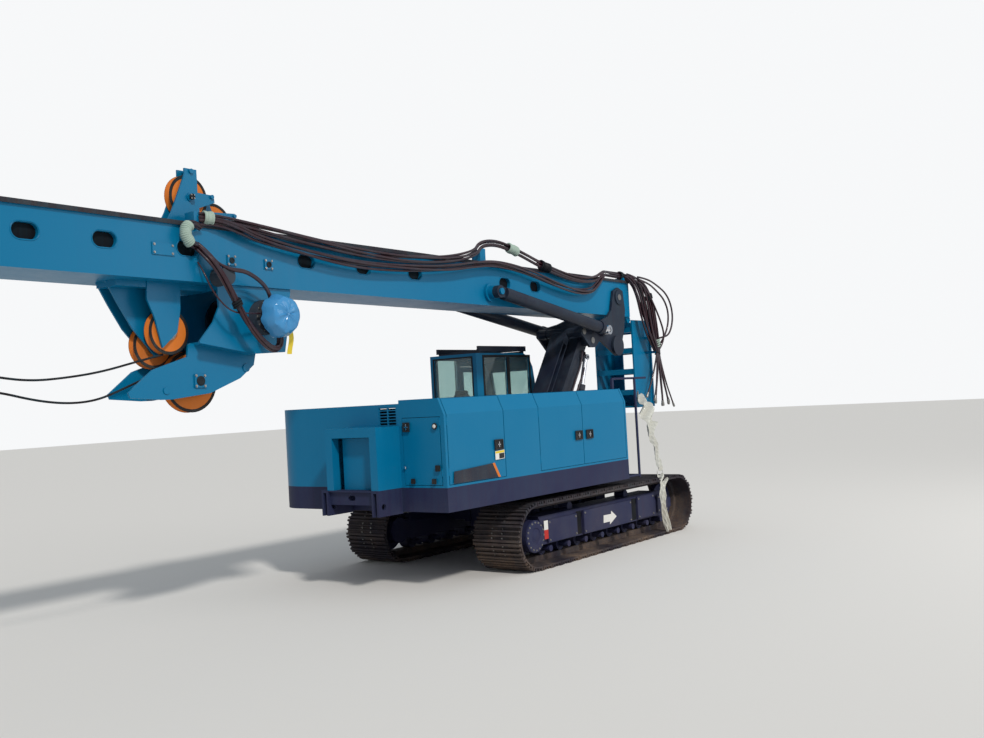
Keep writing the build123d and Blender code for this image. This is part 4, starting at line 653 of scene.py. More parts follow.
# Hose routes along the mast: X, Y and height over the mast's top face
UPPER_HOSES = (
    (-6.06, -0.385, 0.104), (-5.93, -0.43, 0.1), (-5.5, -0.456, 0.068), (-4.6, -0.462, -0.012),
    (-3.8, -0.462, -0.072), (-2.95, -0.46, -0.08), (-2.15, -0.456, -0.012), (-1.55, -0.44, 0.128),
    (-1.33, -0.355, 0.29), (-0.95, -0.345, 0.35), (-0.56, -0.385, 0.268), (0.16, -0.455, 0.048),
    (0.97, -0.46, -0.07), (1.5, -0.458, -0.02), (1.75, -0.462, 0.095), (1.98, -0.36, 0.125),
    (2.3, -0.318, 0.132), (2.56, -0.322, 0.132), (2.66, -0.352, 0.112),
)
LOWER_HOSES = (
    (-6.06, -0.39, 0.06), (-5.9, -0.45, 0.08), (-5.6, -0.48, 0.01), (-5.38, -0.482, -0.06),
    (-4.67, -0.484, -0.16), (-3.89, -0.486, -0.225), (-3.0, -0.486, -0.2), (-2.2, -0.484, -0.135),
    (-1.58, -0.484, -0.02), (-1.1, -0.484, 0.025), (-0.4, -0.484, -0.04), (0.3, -0.486, -0.175),
    (0.9, -0.486, -0.25), (1.3, -0.484, -0.22), (1.5, -0.482, -0.12), (1.72, -0.478, 0.06),
    (1.81, -0.446, 0.1),
)
# Free hoses: X, Y and Z from the slew axis
MOTOR_HOSES = (
    (-6.11, -0.39, 3.93), (-6.08, -0.48, 3.84), (-6.03, -0.56, 3.74), (-5.92, -0.59, 3.57),
    (-5.77, -0.59, 3.32), (-5.63, -0.57, 3.12), (-5.44, -0.555, 2.94), (-5.27, -0.545, 2.85),
    (-5.15, -0.535, 2.93), (-5.19, -0.525, 3.1),
)
MOTOR_TOP_HOSES = (
    (-6.08, -0.39, 3.95), (-6.02, -0.47, 3.86), (-5.94, -0.52, 3.74), (-5.79, -0.56, 3.68),
    (-5.63, -0.56, 3.68), (-5.43, -0.54, 3.6), (-5.29, -0.52, 3.49), (-5.25, -0.51, 3.36),
)
THIN_HOSE = (
    (-6.09, -0.39, 3.76), (-6.08, -0.47, 3.65), (-6.04, -0.53, 3.46), (-5.89, -0.56, 3.28),
    (-5.74, -0.57, 3.23), (-5.61, -0.56, 3.24), (-5.48, -0.54, 3.24), (-5.38, -0.52, 3.25),
)
FOOT_HOSES = (
    (2.64, -0.4, 4.11), (2.72, -0.52, 4.08), (2.9, -0.57, 3.96), (3.08, -0.578, 3.7), (3.16, -0.578, 3.35),
    (3.2, -0.578, 3.06), (3.215, -0.578, 2.8),
)
FOOT_HOSES_REAR = (
    (2.56, -0.395, 4.13), (2.64, -0.48, 4.06), (2.74, -0.53, 3.82), (2.82, -0.545, 3.48),
    (2.94, -0.555, 3.18), (3.12, -0.565, 2.96), (3.18, -0.58, 2.86),
)
FOOT_HOSES_MIDDLE = (
    (2.6, -0.4, 4.14), (2.78, -0.52, 4.08), (2.9, -0.56, 3.82), (2.96, -0.57, 3.46), (3.02, -0.575, 3.16),
    (3.15, -0.58, 2.94), (3.2, -0.585, 2.84),
)
CLAMP_LOOP = (
    (-6.06, -0.4, 4.12), (-6.16, -0.44, 4.15), (-6.26, -0.46, 4.1), (-6.29, -0.47, 4.02),
    (-6.24, -0.47, 3.94), (-6.15, -0.44, 3.92), (-6.11, -0.4, 3.93),
)
FOOT_LOOPS = (
    (
        (2.7, -0.56, 4.11), (2.96, -0.6, 4.09), (3.26, -0.62, 3.99), (3.56, -0.63, 3.86), (3.73, -0.63, 3.64),
        (3.74, -0.63, 3.38), (3.6, -0.62, 3.15), (3.4, -0.6, 3.1), (3.2, -0.59, 3.08),
    ),
    (
        (2.74, -0.56, 4.07), (2.98, -0.6, 4.02), (3.24, -0.61, 3.9), (3.48, -0.62, 3.76), (3.61, -0.62, 3.56),
        (3.6, -0.61, 3.33), (3.48, -0.6, 3.14), (3.32, -0.59, 3.0), (3.2, -0.585, 2.88),
    ),
    (
        (2.76, -0.55, 4.03), (2.92, -0.6, 3.9), (3.06, -0.64, 3.66), (3.25, -0.65, 3.38), (3.38, -0.64, 3.15),
        (3.33, -0.61, 2.96), (3.21, -0.59, 2.86),
    ),
)
# Capped hoses that hang from the tie at the lower mast: X and Z of the end, its Y, hose radius
HANGING_HOSES = (
    (2.8, 2.12, -0.56, 0.015), (2.95, 2.06, -0.62, 0.017), (3.06, 2.01, -0.57, 0.016),
    (3.17, 1.96, -0.64, 0.017), (3.28, 1.96, -0.59, 0.015), (3.4, 1.98, -0.63, 0.016),
    (3.5, 2.01, -0.58, 0.015), (3.62, 1.93, -0.61, 0.013),
)
# Where they leave the tie
TIE = (3.205, -0.59, 2.8)
# Ropes to the head: X and Z
SLACK_ROPES = (
    (
        (-6.35, 2.84), (-6.65, 2.77), (-7.06, 2.67), (-7.44, 2.62), (-7.76, 2.6), (-8.08, 2.64), (-8.7, 2.76),
        (-9.4, 2.83), (-10.1, 2.86), (-10.5, 2.85), (-10.7, 2.812),
    ),
    (
        (-6.27, 2.68), (-6.55, 2.61), (-6.88, 2.48), (-7.12, 2.4), (-7.4, 2.38), (-7.72, 2.42), (-8.1, 2.52),
        (-8.8, 2.6), (-9.6, 2.62), (-10.18, 2.6), (-10.455, 2.56),
    ),
)
# Hoses on the boom: X, Y and Z
BOOM_HOSES = (
    (
        (0.56, -0.262, 1.72), (0.58, -0.32, 1.86), (0.76, -0.335, 2.14), (0.96, -0.335, 2.44),
        (1.12, -0.33, 2.64), (1.2, -0.32, 2.8), (1.3, -0.27, 2.88),
    ),
    (
        (0.64, -0.262, 1.7), (0.68, -0.33, 1.86), (0.86, -0.35, 2.12), (1.06, -0.35, 2.4),
        (1.21, -0.34, 2.58), (1.3, -0.32, 2.76), (1.36, -0.27, 2.86),
    ),
)


def over_mast(points):
    """Route points over the mast's top face, leaned with it."""
    return [on_mast(x, y, MAST_TOP + over) for x, y, over in points]


class RIG_OT_hoses(bpy.types.Operator):
    """Hose bundles on the mast, the free hoses at the winch and the mast's foot, and the ropes"""

    bl_idname = "rig.hoses"
    bl_label = "Hoses and ropes"

    thin_radius = 0.009
    rope_side = -0.1
    tie_pitch = 0.012
    # Shares of a hanging hose's drop in X, Y and Z at the points between its ends
    fall = ((0.06, 0.3, 0.14), (0.22, 0.6, 0.36), (0.50, 0.8, 0.64), (0.80, 1.0, 0.86))

    def execute(self, context):
        sizes = context.scene.rig_sizes
        radius = sizes.hose_diameter / 2
        bundle("Mast hoses upper", over_mast(UPPER_HOSES), 6, 0.040, 0.020, "mast", 0.45, ("mast_hoses",))
        bundle("Mast hoses lower", over_mast(LOWER_HOSES), 4, 0.036, 0.018, "mast", 0.6)
        bundle("Winch motor hoses", route(MOTOR_HOSES), 4, 0.026, 0.020, "mast", 1.4)
        bundle("Motor top hoses", route(MOTOR_TOP_HOSES), 2, 0.024, 0.018, "mast", 1.0)
        hose("Thin motor hose", route(THIN_HOSE), self.thin_radius, "mast")
        bundle("Foot hoses", route(FOOT_HOSES), 7, 0.036, 0.036, "lower_mast", 0.8, ("foot_hoses",))
        bundle("Foot hoses rear", route(FOOT_HOSES_REAR), 5, 0.036, 0.030, "lower_mast", 1.0)
        bundle("Foot hoses middle", route(FOOT_HOSES_MIDDLE), 5, 0.034, 0.036, "lower_mast", 0.7)
        bundle("Clamp loop", route(CLAMP_LOOP), 4, 0.026, 0.024, "mast", 1.2)
        for i, points in enumerate(FOOT_LOOPS):
            hose(f"Foot loop {i + 1}", route(points), radius, "lower_mast")
        for i, points in enumerate(SLACK_ROPES):
            hose(f"Slack rope {i + 1}", route(points, self.rope_side), sizes.rope_diameter / 2, "mast",
                 material="Winch rope")
        for i, points in enumerate(BOOM_HOSES):
            hose(f"Boom hose {i + 1}", route(points), radius, "boom")
        self.hanging()
        return {"FINISHED"}

    def hanging(self):
        """Each hanging hose leaves the tie, fans out and ends in its cap."""
        middle = (len(HANGING_HOSES) - 1) / 2
        for i, (x, z, y, radius) in enumerate(HANGING_HOSES):
            start = here(TIE[0] + self.tie_pitch * (i - middle), TIE[1], TIE[2] + 0.03)
            end = here(x, y, z)
            drop = end - start
            points = [start, *(start + Vector(part * whole for part, whole in zip(share, drop))
                               for share in self.fall), end]
            line = smooth_line(points)
            form = bmesh.new()
            revolved(form, [(0, -0.05), (radius * 1.25, -0.05), (radius * 1.25, -0.012),
                            (radius * 1.5, -0.012), (radius * 1.5, 0.03), (radius * 1.2, 0.042), (0, 0.042)],
                     end, (line[-1] - line[-2]).normalized(), 14)
            cap = made(f"Hose cap {i + 1}", form, "lower_mast", "Machined steel")
            hose(f"Hanging hose {i + 1}", points, radius, "lower_mast")


class RIG_OT_bindings(bpy.types.Operator):
    """Tape and ties that hold the hoses together"""

    bl_idname = "rig.bindings"
    bl_label = "Bindings"

    tape_radius, tape_pitch, turn_steps = 0.012, 0.017, 14

    def execute(self, context):
        upper, foot = smooth_line(over_mast(UPPER_HOSES)), smooth_line(route(FOOT_HOSES))
        motor, clamp = smooth_line(route(MOTOR_HOSES)), smooth_line(route(CLAMP_LOOP))
        # Name, body, line, share of its length where the wrap starts, wrap's length, radius, finish
        for row in (
            ("Clamp binding", "mast", upper, 0.012, 0.12, 0.062, "Pale binding"),
            ("Clamp loop binding", "mast", clamp, 0.22, 0.26, 0.048, "Pale binding"),
            ("Hump binding rear", "mast", upper, 0.535, 0.16, 0.060, "Pale binding"),
            ("Hump binding front", "mast", upper, 0.600, 0.12, 0.060, "Moulded plastic"),
            ("Foot binding", "mast", upper, 0.955, 0.10, 0.060, "Moulded plastic"),
            ("Motor hose tie", "mast", motor, 0.42, 0.05, 0.046, "Moulded plastic"),
            ("Foot tie", "lower_mast", foot, 0.88, 0.08, 0.056, "Pale binding"),
            ("Foot tape", "lower_mast", foot, 0.40, 0.06, 0.056, "Moulded plastic"),
        ):
            self.wrap(*row)
        return {"FINISHED"}

    def wrap(self, name, body, line, share, long, reach, material):
        """Turns of tape round a line, from a share of its length on."""
        start = min(int(share * len(line)), len(line) - 4)
        frames = frames_along(line)
        span = max(3, int(long / length_of(line) * len(line)) + 2)
        turns = max(3, int(long / self.tape_pitch))
        steps = turns * self.turn_steps
        path = []
        for i in range(steps + 1):
            at = start + (span - 1) * i / steps
            k = min(int(at), len(line) - 2)
            side, other = frames[k]
            angle = 2 * math.pi * turns * i / steps
            bulge = reach * (1 + 0.05 * math.sin(0.37 * i) + 0.03 * math.sin(1.3 * i))
            path.append(line[k].lerp(line[k + 1], at - k) + side * bulge * math.cos(angle)
                        + other * bulge * math.sin(angle))
        form = bmesh.new()
        tube(form, path, self.tape_radius, 6)
        made(name, form, body, material)


class RIG_OT_sheave_rims(bpy.types.Operator):
    """Dark rims and hub rings with their bolts on the rope wheels"""

    bl_idname = "rig.sheave_rims"
    bl_label = "Sheave rims"

    half = 0.042
    bolt_circle = 0.072

    def execute(self, context):
        for node in ("sheave_low", "sheave_guide_1", "sheave_guide_2", "sheave_top_1", "sheave_top_2"):
            self.wheel(node, "", middle_of(node))
        for side, suffix in ((-1, " right"), (1, " left")):
            centre = middle_of("head_sheaves")
            centre.y = side * (box_of("head_sheaves")[1].y - self.half)
            self.wheel("head_sheaves", suffix, centre)
        return {"FINISHED"}

    def wheel(self, node, suffix, centre):
        low, high = box_of(node)
        radius, half = (high.x - low.x) / 2, self.half
        rim, hub = bmesh.new(), bmesh.new()
        for face in SIDES:
            out = Y_AXIS * face
            revolved(rim, [(radius - 0.034, half - 0.004), (radius - 0.030, half + 0.004),
                           (radius - 0.002, half + 0.004), (radius + 0.002, half - 0.001),
                           (radius - 0.034, half - 0.004)], centre, out, 48)
            revolved(hub, [(0.052, half - 0.002), (0.088, half - 0.002), (0.088, half + 0.008),
                           (0.052, half + 0.012), (0.052, half - 0.002)], centre, out, 30)
            for a, b in ring_of(self.bolt_circle, 6):
                bolt(node, centre + Vector((a, 0, b)) + out * (half + 0.010), out, 0.007)
        made(f"Rim {node}{suffix}", rim, node, "Wheel rim")
        made(f"Hub {node}{suffix}", hub, node, "Machined steel")


class RIG_OT_mast_fittings(bpy.types.Operator):
    """Wear strips, near-black plates of painted shade inside the slots, bolted pads and plates of the mast"""

    bl_idname = "rig.mast_fittings"
    bl_label = "Mast fittings"

    strip_rear, strip_front, strip_thick = -10.79, 2.66, 0.004
    rail_height, rail_width = 0.038, 0.150
    slot_x = (-10.3, -9.1, -7.903, -7.127, -6.198, -4.598, -3.678, -2.748, -0.83, -0.078)
    slot_z = MAST_PIN_Z + 0.034

    def execute(self, context):
        self.strips()
        self.slots()
        self.pads()
        return {"FINISHED"}

    def strips(self):
        """A dark wear strip over the outer face and top of each rail."""
        form = bmesh.new()
        low, top = MAST_TOP - self.strip_thick, MAST_TOP + self.rail_height
        for side in SIDES:
            inner, outer = side * (RAIL_SIDE - self.rail_width), side * (RAIL_SIDE + self.strip_thick)
            outline = [(side * RAIL_SIDE, low), (outer, low), (outer, top + self.strip_thick),
                       (inner, top + self.strip_thick), (inner, top), (side * RAIL_SIDE, top)]
            prism(form, outline, on_mast(self.strip_rear, 0, 0), Y_AXIS, MAST_UP,
                  self.strip_front - self.strip_rear)
        made("Rail wear strips", form, "mast", "Rail wear strip", bevel=0.001)

    def slots(self):
        """A near-black plate inside each slot as painted shade of the hole, and a raised weld lip round it.
        """
        slot_shade, lip = bmesh.new(), bmesh.new()
        for x in self.slot_x:
            for side in SIDES:
                # Painted shade: a near-black plate set into each slot where the hole looks dark
                prism(slot_shade, racetrack(0.248, 0.148), on_mast(x, side * (MAST_SIDE - 0.052), self.slot_z),
                      MAST_ALONG * -side, MAST_UP, 0.006)
                edge = on_mast(x, side * (MAST_SIDE + 0.002), self.slot_z)
                path = [edge + MAST_ALONG * a + MAST_UP * b for a, b in racetrack(0.270, 0.170)]
                tube(lip, [*path, path[0]], 0.004, 6)
        made("Slot shade plates", slot_shade, "mast", "Slot shadow")
        made("Slot lips", lip, "mast", "Teal paint")

    def pads(self):
        """Two square bolted pads with a round core and one bolted plate on each side."""
        plates, cores = bmesh.new(), bmesh.new()
        for side in SIDES:
            out = Y_AXIS * side
            # X and Z of the middle, half width, half height, thickness, reach of the corner bolts
            for x, z, wide, tall, thick, reach, rise, core in (
                (-5.660, 3.810, 0.055, 0.055, 0.016, 0.042, 0.042, True),
                (-5.160, 3.800, 0.055, 0.055, 0.016, 0.042, 0.042, True),
                (-6.490, 3.865, 0.130, 0.062, 0.012, 0.105, 0.040, False),
            ):
                middle = here(x, side * MAST_SIDE, z)
                prism(plates, centred(wide, tall), middle, MAST_ALONG * -side, MAST_UP, thick)
                if core:
                    revolved(cores, [(0, 0.010), (0.032, 0.010), (0.032, 0.026), (0.018, 0.026),
                                     (0.018, 0.020), (0, 0.020)], middle, out, 20)
                corner_bolts("mast", middle + out * thick, reach, rise, out, 0.010)
        made("Mast pads", plates, "mast", "Teal paint", bevel=0.003)
        made("Pad cores", cores, "mast", "Moulded plastic")


class RIG_OT_winch_fittings(bpy.types.Operator):
    """Rope on the drum, motor bolts, pin caps, the covered motor and its tag"""

    bl_idname = "rig.winch_fittings"
    bl_label = "Winch fittings"

    drum_core, drum_flanges = 0.190, 0.08
    motor_x, motor_z = -5.250, 3.220

    def execute(self, context):
        self.drum_rope(context.scene.rig_sizes.rope_diameter)
        self.pin_caps()
        # Flange circle's radius and its Y
        for radius, y in ((0.172, -0.480), (0.108, -0.710)):
            for a, b in ring_of(radius, 12):
                bolt("mast", here(self.motor_x + a, y, self.motor_z + b), -Y_AXIS, 0.009)
        self.motor_cover()
        self.tag()
        return {"FINISHED"}

    def drum_rope(self, diameter):
        """One layer of rope turns between the drum's flanges."""
        low, high = box_of("winch_drum")
        turns = int((high.y - low.y - self.drum_flanges) / diameter)
        mesh = grown("Drum rope", bpy.data.meshes.new("Seed"), rope_turn_nodes(), {
            "Turns": turns, "Pitch": diameter, "Rope Radius": diameter / 2,
            "Coil Radius": self.drum_core + diameter / 2, "Finish": material_of("Winch rope")})
        start = middle_of("winch_drum") - Y_AXIS * diameter * (turns - 1) / 2
        mesh.transform(Matrix.Translation(start) @ Matrix.Rotation(-math.pi / 2, 4, "X"))
        mesh.shade_smooth()
        settle("Drum rope", mesh, "winch_drum", "Winch rope")

    def pin_caps(self):
        """Round and square bolted caps on the wheel axles, outside the winch plates."""
        caps, discs = bmesh.new(), bmesh.new()
        size = 0.072
        # Wheel, side, outside of the plate there, disc's radius and whether a square cap holds it
        for node, side, outer, radius, square in (
            ("sheave_low", -1, 0.183, 0.7 * size, True), ("sheave_low", 1, 0.183, 0.7 * size, True),
            ("sheave_top_1", -1, 0.192, 0.032, False),
        ):
            out = Y_AXIS * side
            middle = middle_of(node)
            middle.y = side * outer
            revolved(discs, [(0, 0.010), (radius, 0.010), (radius, 0.026), (radius * 0.7, 0.032),
                             (radius * 0.4, 0.026), (0, 0.026)], middle, out, 24)
            if square:
                prism(caps, centred(size, size), middle, MAST_ALONG * -side, MAST_UP, 0.018)
                corner_bolts("mast", middle + out * 0.018, size * 0.74, size * 0.74, out, 0.011)
            else:
                for a, b in ring_of(0.024, 4, 0.8):
                    bolt("mast", middle + Vector((a, 0, b)) + out * 0.030, out, 0.006)
        made("Axle caps", caps, "mast", "Teal paint", bevel=0.004)
        made("Axle discs", discs, "mast", "Moulded plastic")

    def motor_cover(self):
        """A thin blue film pulled over the motor's end and tied, crumpled at the rim."""
        centre = here(-5.235, -0.700, 3.225)
        rings, steps = 14, 40
        tied, rim, bow, skirt, sag = 0.015, 0.180, 0.045, 0.15, 0.020
        form = bmesh.new()
        grid = []
        for i in range(rings + 1):
            share = i / rings
            row = []
            for k in range(steps):
                angle = 2 * math.pi * k / steps
                fold = 0.012 * math.sin(7 * angle + 2.5 * share) + 0.008 * math.sin(13 * angle - 4 * share)
                if share < 0.5:
                    reach = tied + (rim - tied) * (share / 0.5) ** 0.7
                    depth = -0.035 - 0.020 * math.cos(math.pi * share) + 0.4 * fold
                else:
                    reach = rim + bow * math.sin(math.pi * (share - 0.5)) + 0.6 * fold
                    depth = -0.030 + skirt * (share - 0.5) / 0.5 + 0.5 * fold
                drop = -sag * max(0.0, -math.sin(angle)) * share
                row.append(form.verts.new(centre + Vector((reach * math.cos(angle), depth,
                                                           reach * math.sin(angle) + drop))))
            grid.append(row)
        join_rings(form, grid)
        form.faces.new(grid[0])
        film("Motor cover", form, (0.72, 0.72), "mast", "Blue film")

    def tag(self):
        """A yellow strip that hangs from the motor."""
        form = bmesh.new()
        rows, half_width, long, steps = [], 0.033, 0.280, 8
        for i in range(steps + 1):
            share = i / steps
            middle = here(-5.095 + 0.012 * math.sin(4 * share), -0.600 - 0.010 * math.sin(5 * share),
                          3.090 - long * share)
            rows.append([form.verts.new(middle + X_AXIS * side * half_width) for side in SIDES])
        join_rows(form, rows)
        film("Hanging tag", form, (0.068, 0.290), "mast", "Yellow tag")


class RIG_OT_hood_fittings(bpy.types.Operator):
    """Latches, blank plates, lamp and keys on the machinery house"""

    bl_idname = "rig.hood_fittings"
    bl_label = "Hood fittings"

    right_face, left_face, rear_face, latch_z = -1.497, 1.490, -3.664, 1.652
    # Half sizes of the latches' bezels
    side_latch, rear_latch = (0.086, 0.062), (0.0516, 0.054808)

    def execute(self, context):
        for name, body, x, y, out in (
            ("rear", "hood_door_rear", -2.660, self.right_face, -Y_AXIS),
            ("mid", "hood_door_mid", -0.860, self.right_face, -Y_AXIS),
            ("front", "hood_door_front", -0.590, self.right_face, -Y_AXIS),
            ("left rear", "left_door_rear", -2.260, self.left_face, Y_AXIS),
            ("left front", "left_door_front", -1.000, self.left_face, Y_AXIS),
        ):
            self.latch(f"Latch {name}", body, here(x, y, self.latch_z), out, *self.side_latch)
        self.latch("Latch rear door", "rear_door", here(self.rear_face, -0.920, 1.930), -X_AXIS,
                   *self.rear_latch)
        self.plaque()
        self.rear_items()
        return {"FINISHED"}

    def latch(self, name, body, middle, out, w, h):
        """A dark bezel of half size w by h with a sunk paddle and a bright key cross."""
        across = Z_AXIS.cross(out)
        bezel, bright = bmesh.new(), bmesh.new()
        bar, post, proud, sunk = 0.018, 0.022, 0.012, 0.004
        for low, high, depth in (
            ((-w, -h), (w, bar - h), proud), ((-w, h - bar), (w, h), proud),
            ((-w, bar - h), (post - w, h - bar), proud), ((w - post, bar - h), (w, h - bar), proud),
            ((post - w, bar - h), (w - post, h - bar), sunk),
        ):
            prism(bezel, rectangle(low, high), middle, across, Z_AXIS, depth)
        for outline in (centred(0.006, 0.034), centred(0.026, 0.006)):
            prism(bright, outline, middle + out * sunk, across, Z_AXIS, 0.010)
        made(name, bezel, body, "Moulded plastic", bevel=0.003)
        made(f"{name} key", bright, body, "Rod chrome", bevel=0.001)

    def plaque(self):
        """A blank dark plate with a slanted orange end, and a blank field above it."""
        face, thin, step = -1.4975, 0.0015, 0.0006
        for i, (name, material, outline) in enumerate((
            ("Blank plate", "Boom paint", [(-3.53, 1.4), (-3.545, 1.262), (-2.7, 1.262), (-2.805, 1.437)]),
            ("Blank plate end", "Sheave paint",
             [(-2.7, 1.262), (-2.655, 1.262), (-2.76, 1.439), (-2.805, 1.437)]),
            ("Blank field", "White mark", [(-2.74, 1.47), (-2.555, 1.478), (-2.555, 1.582), (-2.74, 1.574)]),
            ("Blank field top", "Yellow tag",
             [(-2.736, 1.545), (-2.559, 1.551), (-2.559, 1.578), (-2.736, 1.57)]),
            ("Blank field panel", "Moulded plastic", [(-2.665, 1.48), (-2.563, 1.484), (-2.563, 1.546),
                                                      (-2.665, 1.543)]),
        )):
            mark(name, outline, here(0, face, 0), X_AXIS, thin + step * i, "hood_door_rear", material)

    def rear_items(self):
        """Lamp, key and dark boxes on the rear door."""
        lamp, key, boxes = bmesh.new(), bmesh.new(), bmesh.new()
        # Mesh, (radius, height) profile, Y, Z and steps round
        for form, profile, y, z, steps in (
            (lamp, [(0, 0.006), (0.024, 0.006), (0.022, 0.014), (0.012, 0.018), (0, 0.019)],
             -1.355, 1.930, 28),
            (boxes, [(0, 0), (0.038, 0), (0.038, 0.010), (0.028, 0.014), (0.024, 0.008), (0, 0.008)],
             -1.355, 1.930, 28),
            (key, [(0, 0), (0.020, 0), (0.020, 0.010), (0.012, 0.014), (0, 0.014)], -0.870, 1.460, 20),
        ):
            revolved(form, profile, here(self.rear_face, y, z), -X_AXIS, steps)
        for y, z, size in ((-1.375, 1.450, 0.035), (-0.990, 1.300, 0.030), (-1.310, 1.300, 0.030)):
            prism(boxes, centred(size, size), here(self.rear_face, y, z), Z_AXIS, Y_AXIS, 0.018)
        made("Rear lamp", lamp, "rear_door", "White mark")
        made("Rear door key", key, "rear_door", "Rod chrome")
        made("Rear door catches", boxes, "rear_door", "Moulded plastic", bevel=0.004)


class RIG_OT_track_fittings(bpy.types.Operator):
    """Cover boxes with painted shade in the gaps between them, hub covers, shoe ribs and bolts, and the marks
    on the track frames
    """

    bl_idname = "rig.track_fittings"
    bl_label = "Track fittings"

    # Rear X, front X, low Z, high Z, thickness
    boxes = (
        (-1.570, -0.870, 0.300, 0.600, 0.030), (-0.720, 0.580, 0.300, 0.620, 0.042),
        (0.780, 1.280, 0.310, 0.640, 0.030), (1.400, 1.720, 0.330, 0.600, 0.024),
    )
    # Painted shade: near-black plates in the gaps between the cover boxes, with the same columns
    recesses = ((-0.850, -0.735, 0.310, 0.620, 0.004), (0.595, 0.765, 0.310, 0.620, 0.004))
    arrow = ((-0.21, 0.49), (-0.22, 0.385), (-0.05, 0.385), (-0.05, 0.345), (0.14, 0.435), (0.0, 0.53),
             (-0.01, 0.485))
    # The track's length and height, its grousers' height, its shoes' thickness and their number
    length, height, grouser, shoe, shoes = 4.720, 0.870, 0.032, 0.018, 48
    middle = height / 2
    radius = height / 2 - grouser - shoe
    half = length / 2 - height / 2
    bend = math.pi * radius
    loop = 2 * (2 * half + bend)
    belt_y, cover_y, mark_y = 1.135, 1.370, 1.412
    hub = (-1.925, 1.438)
    plate_top = 0.017

    def execute(self, context):
        ribs = shoe_rib_nodes()
        for side, track in ((-1, "right"), (1, "left")):
            body = f"{track}_track"
            out = Y_AXIS * side
            self.slabs(f"Frame covers {track}", body, side, self.boxes, "Frame paint", 0.005)
            for x0, x1, z0, z1, thick in self.boxes:
                for x in (x0 + 0.035, x1 - 0.035):
                    for z in (z0 + 0.035, z1 - 0.035):
                        bolt(body, here(x, side * (self.cover_y + thick), z), out, 0.011)
            # Painted shade in the gaps between the cover boxes
            self.slabs(f"Frame recesses {track}", body, side, self.recesses, "Slot shadow", 0.0)
            form = bmesh.new()
            hub_x, hub_y = self.hub
            revolved(form, [(0, 0), (0.196, 0), (0.196, 0.008), (0.150, 0.014), (0.110, 0.014),
                            (0.100, 0.006), (0.060, 0.006), (0.050, 0.012), (0, 0.012)],
                     here(hub_x, side * hub_y, self.middle), out, 40)
            made(f"Hub cover {track}", form, body, "Frame paint")
            for a, b in ring_of(0.174, 16):
                bolt(body, here(hub_x + a, side * (hub_y + 0.010), self.middle + b), out, 0.010)
            mark(f"Travel arrow {track}", [(-side * x, z) for x, z in self.arrow],
                 here(0, side * self.mark_y, 0), X_AXIS * -side, 0.0015, body, "White mark")
            if side < 0:
                for name, material, z0, z1 in (("Tape white", "White mark", 0.480, 0.598),
                                               ("Tape red", "Red mark", 0.362, 0.480)):
                    mark(name, rectangle((-1.680, z0), (-1.590, z1)), here(0, -self.mark_y, 0), X_AXIS, 0.002,
                         body, material)
            for place, out in self.shoe_places(side, (-0.057, 0.0, 0.057), (-0.080, 0.080)):
                bolt(body, place, out, 0.009)
            # Two more ribs on each shoe, between the two that its edges carry
            rows = [(place, out, 1.0) for place, out in self.shoe_places(side, (-0.029, 0.029), (0.0,))]
            seeded(f"Shoe ribs {track}", rows, ribs, body, "Track steel", {
                "Half Length": 0.358, "Height": 0.031, "Foot Width": 0.028, "Crest Width": 0.016})
        return {"FINISHED"}

    def slabs(self, name, body, side, areas, material, bevel):
        """Plates on the track frame's outer face."""
        form = bmesh.new()
        for x0, x1, z0, z1, thick in areas:
            low, high = sorted((-side * x0, -side * x1))
            prism(form, rectangle((low, z0), (high, z1)), here(0, side * self.cover_y, 0),
                  X_AXIS * -side, Z_AXIS, thick)
        made(name, form, body, material, bevel=bevel)

    def shoe_places(self, side, steps, offsets):
        """Places on every shoe's plate, given as steps along the belt and offsets across it."""
        for shoe in range(self.shoes):
            for step in steps:
                x, z, out = self.belt_point((shoe + 0.5) * self.loop / self.shoes + step)
                for y in offsets:
                    yield here(x, side * self.belt_y + y, z) + out * self.plate_top, out

    def belt_point(self, run):
        """Place and outward direction at a distance along the belt's pitch line."""
        run %= self.loop
        straight, bend = 2 * self.half, self.bend
        if run < straight:
            return run - self.half, self.middle + self.radius, Z_AXIS
        if straight + bend <= run < 2 * straight + bend:
            return self.half - (run - straight - bend), self.middle - self.radius, -Z_AXIS
        end = 1 if run < straight + bend else -1
        turn = (run - (straight if end > 0 else 2 * straight + bend)) / self.radius
        out = Vector((math.sin(turn), 0, math.cos(turn))) * end
        return end * self.half + self.radius * out.x, self.middle + self.radius * out.z, out


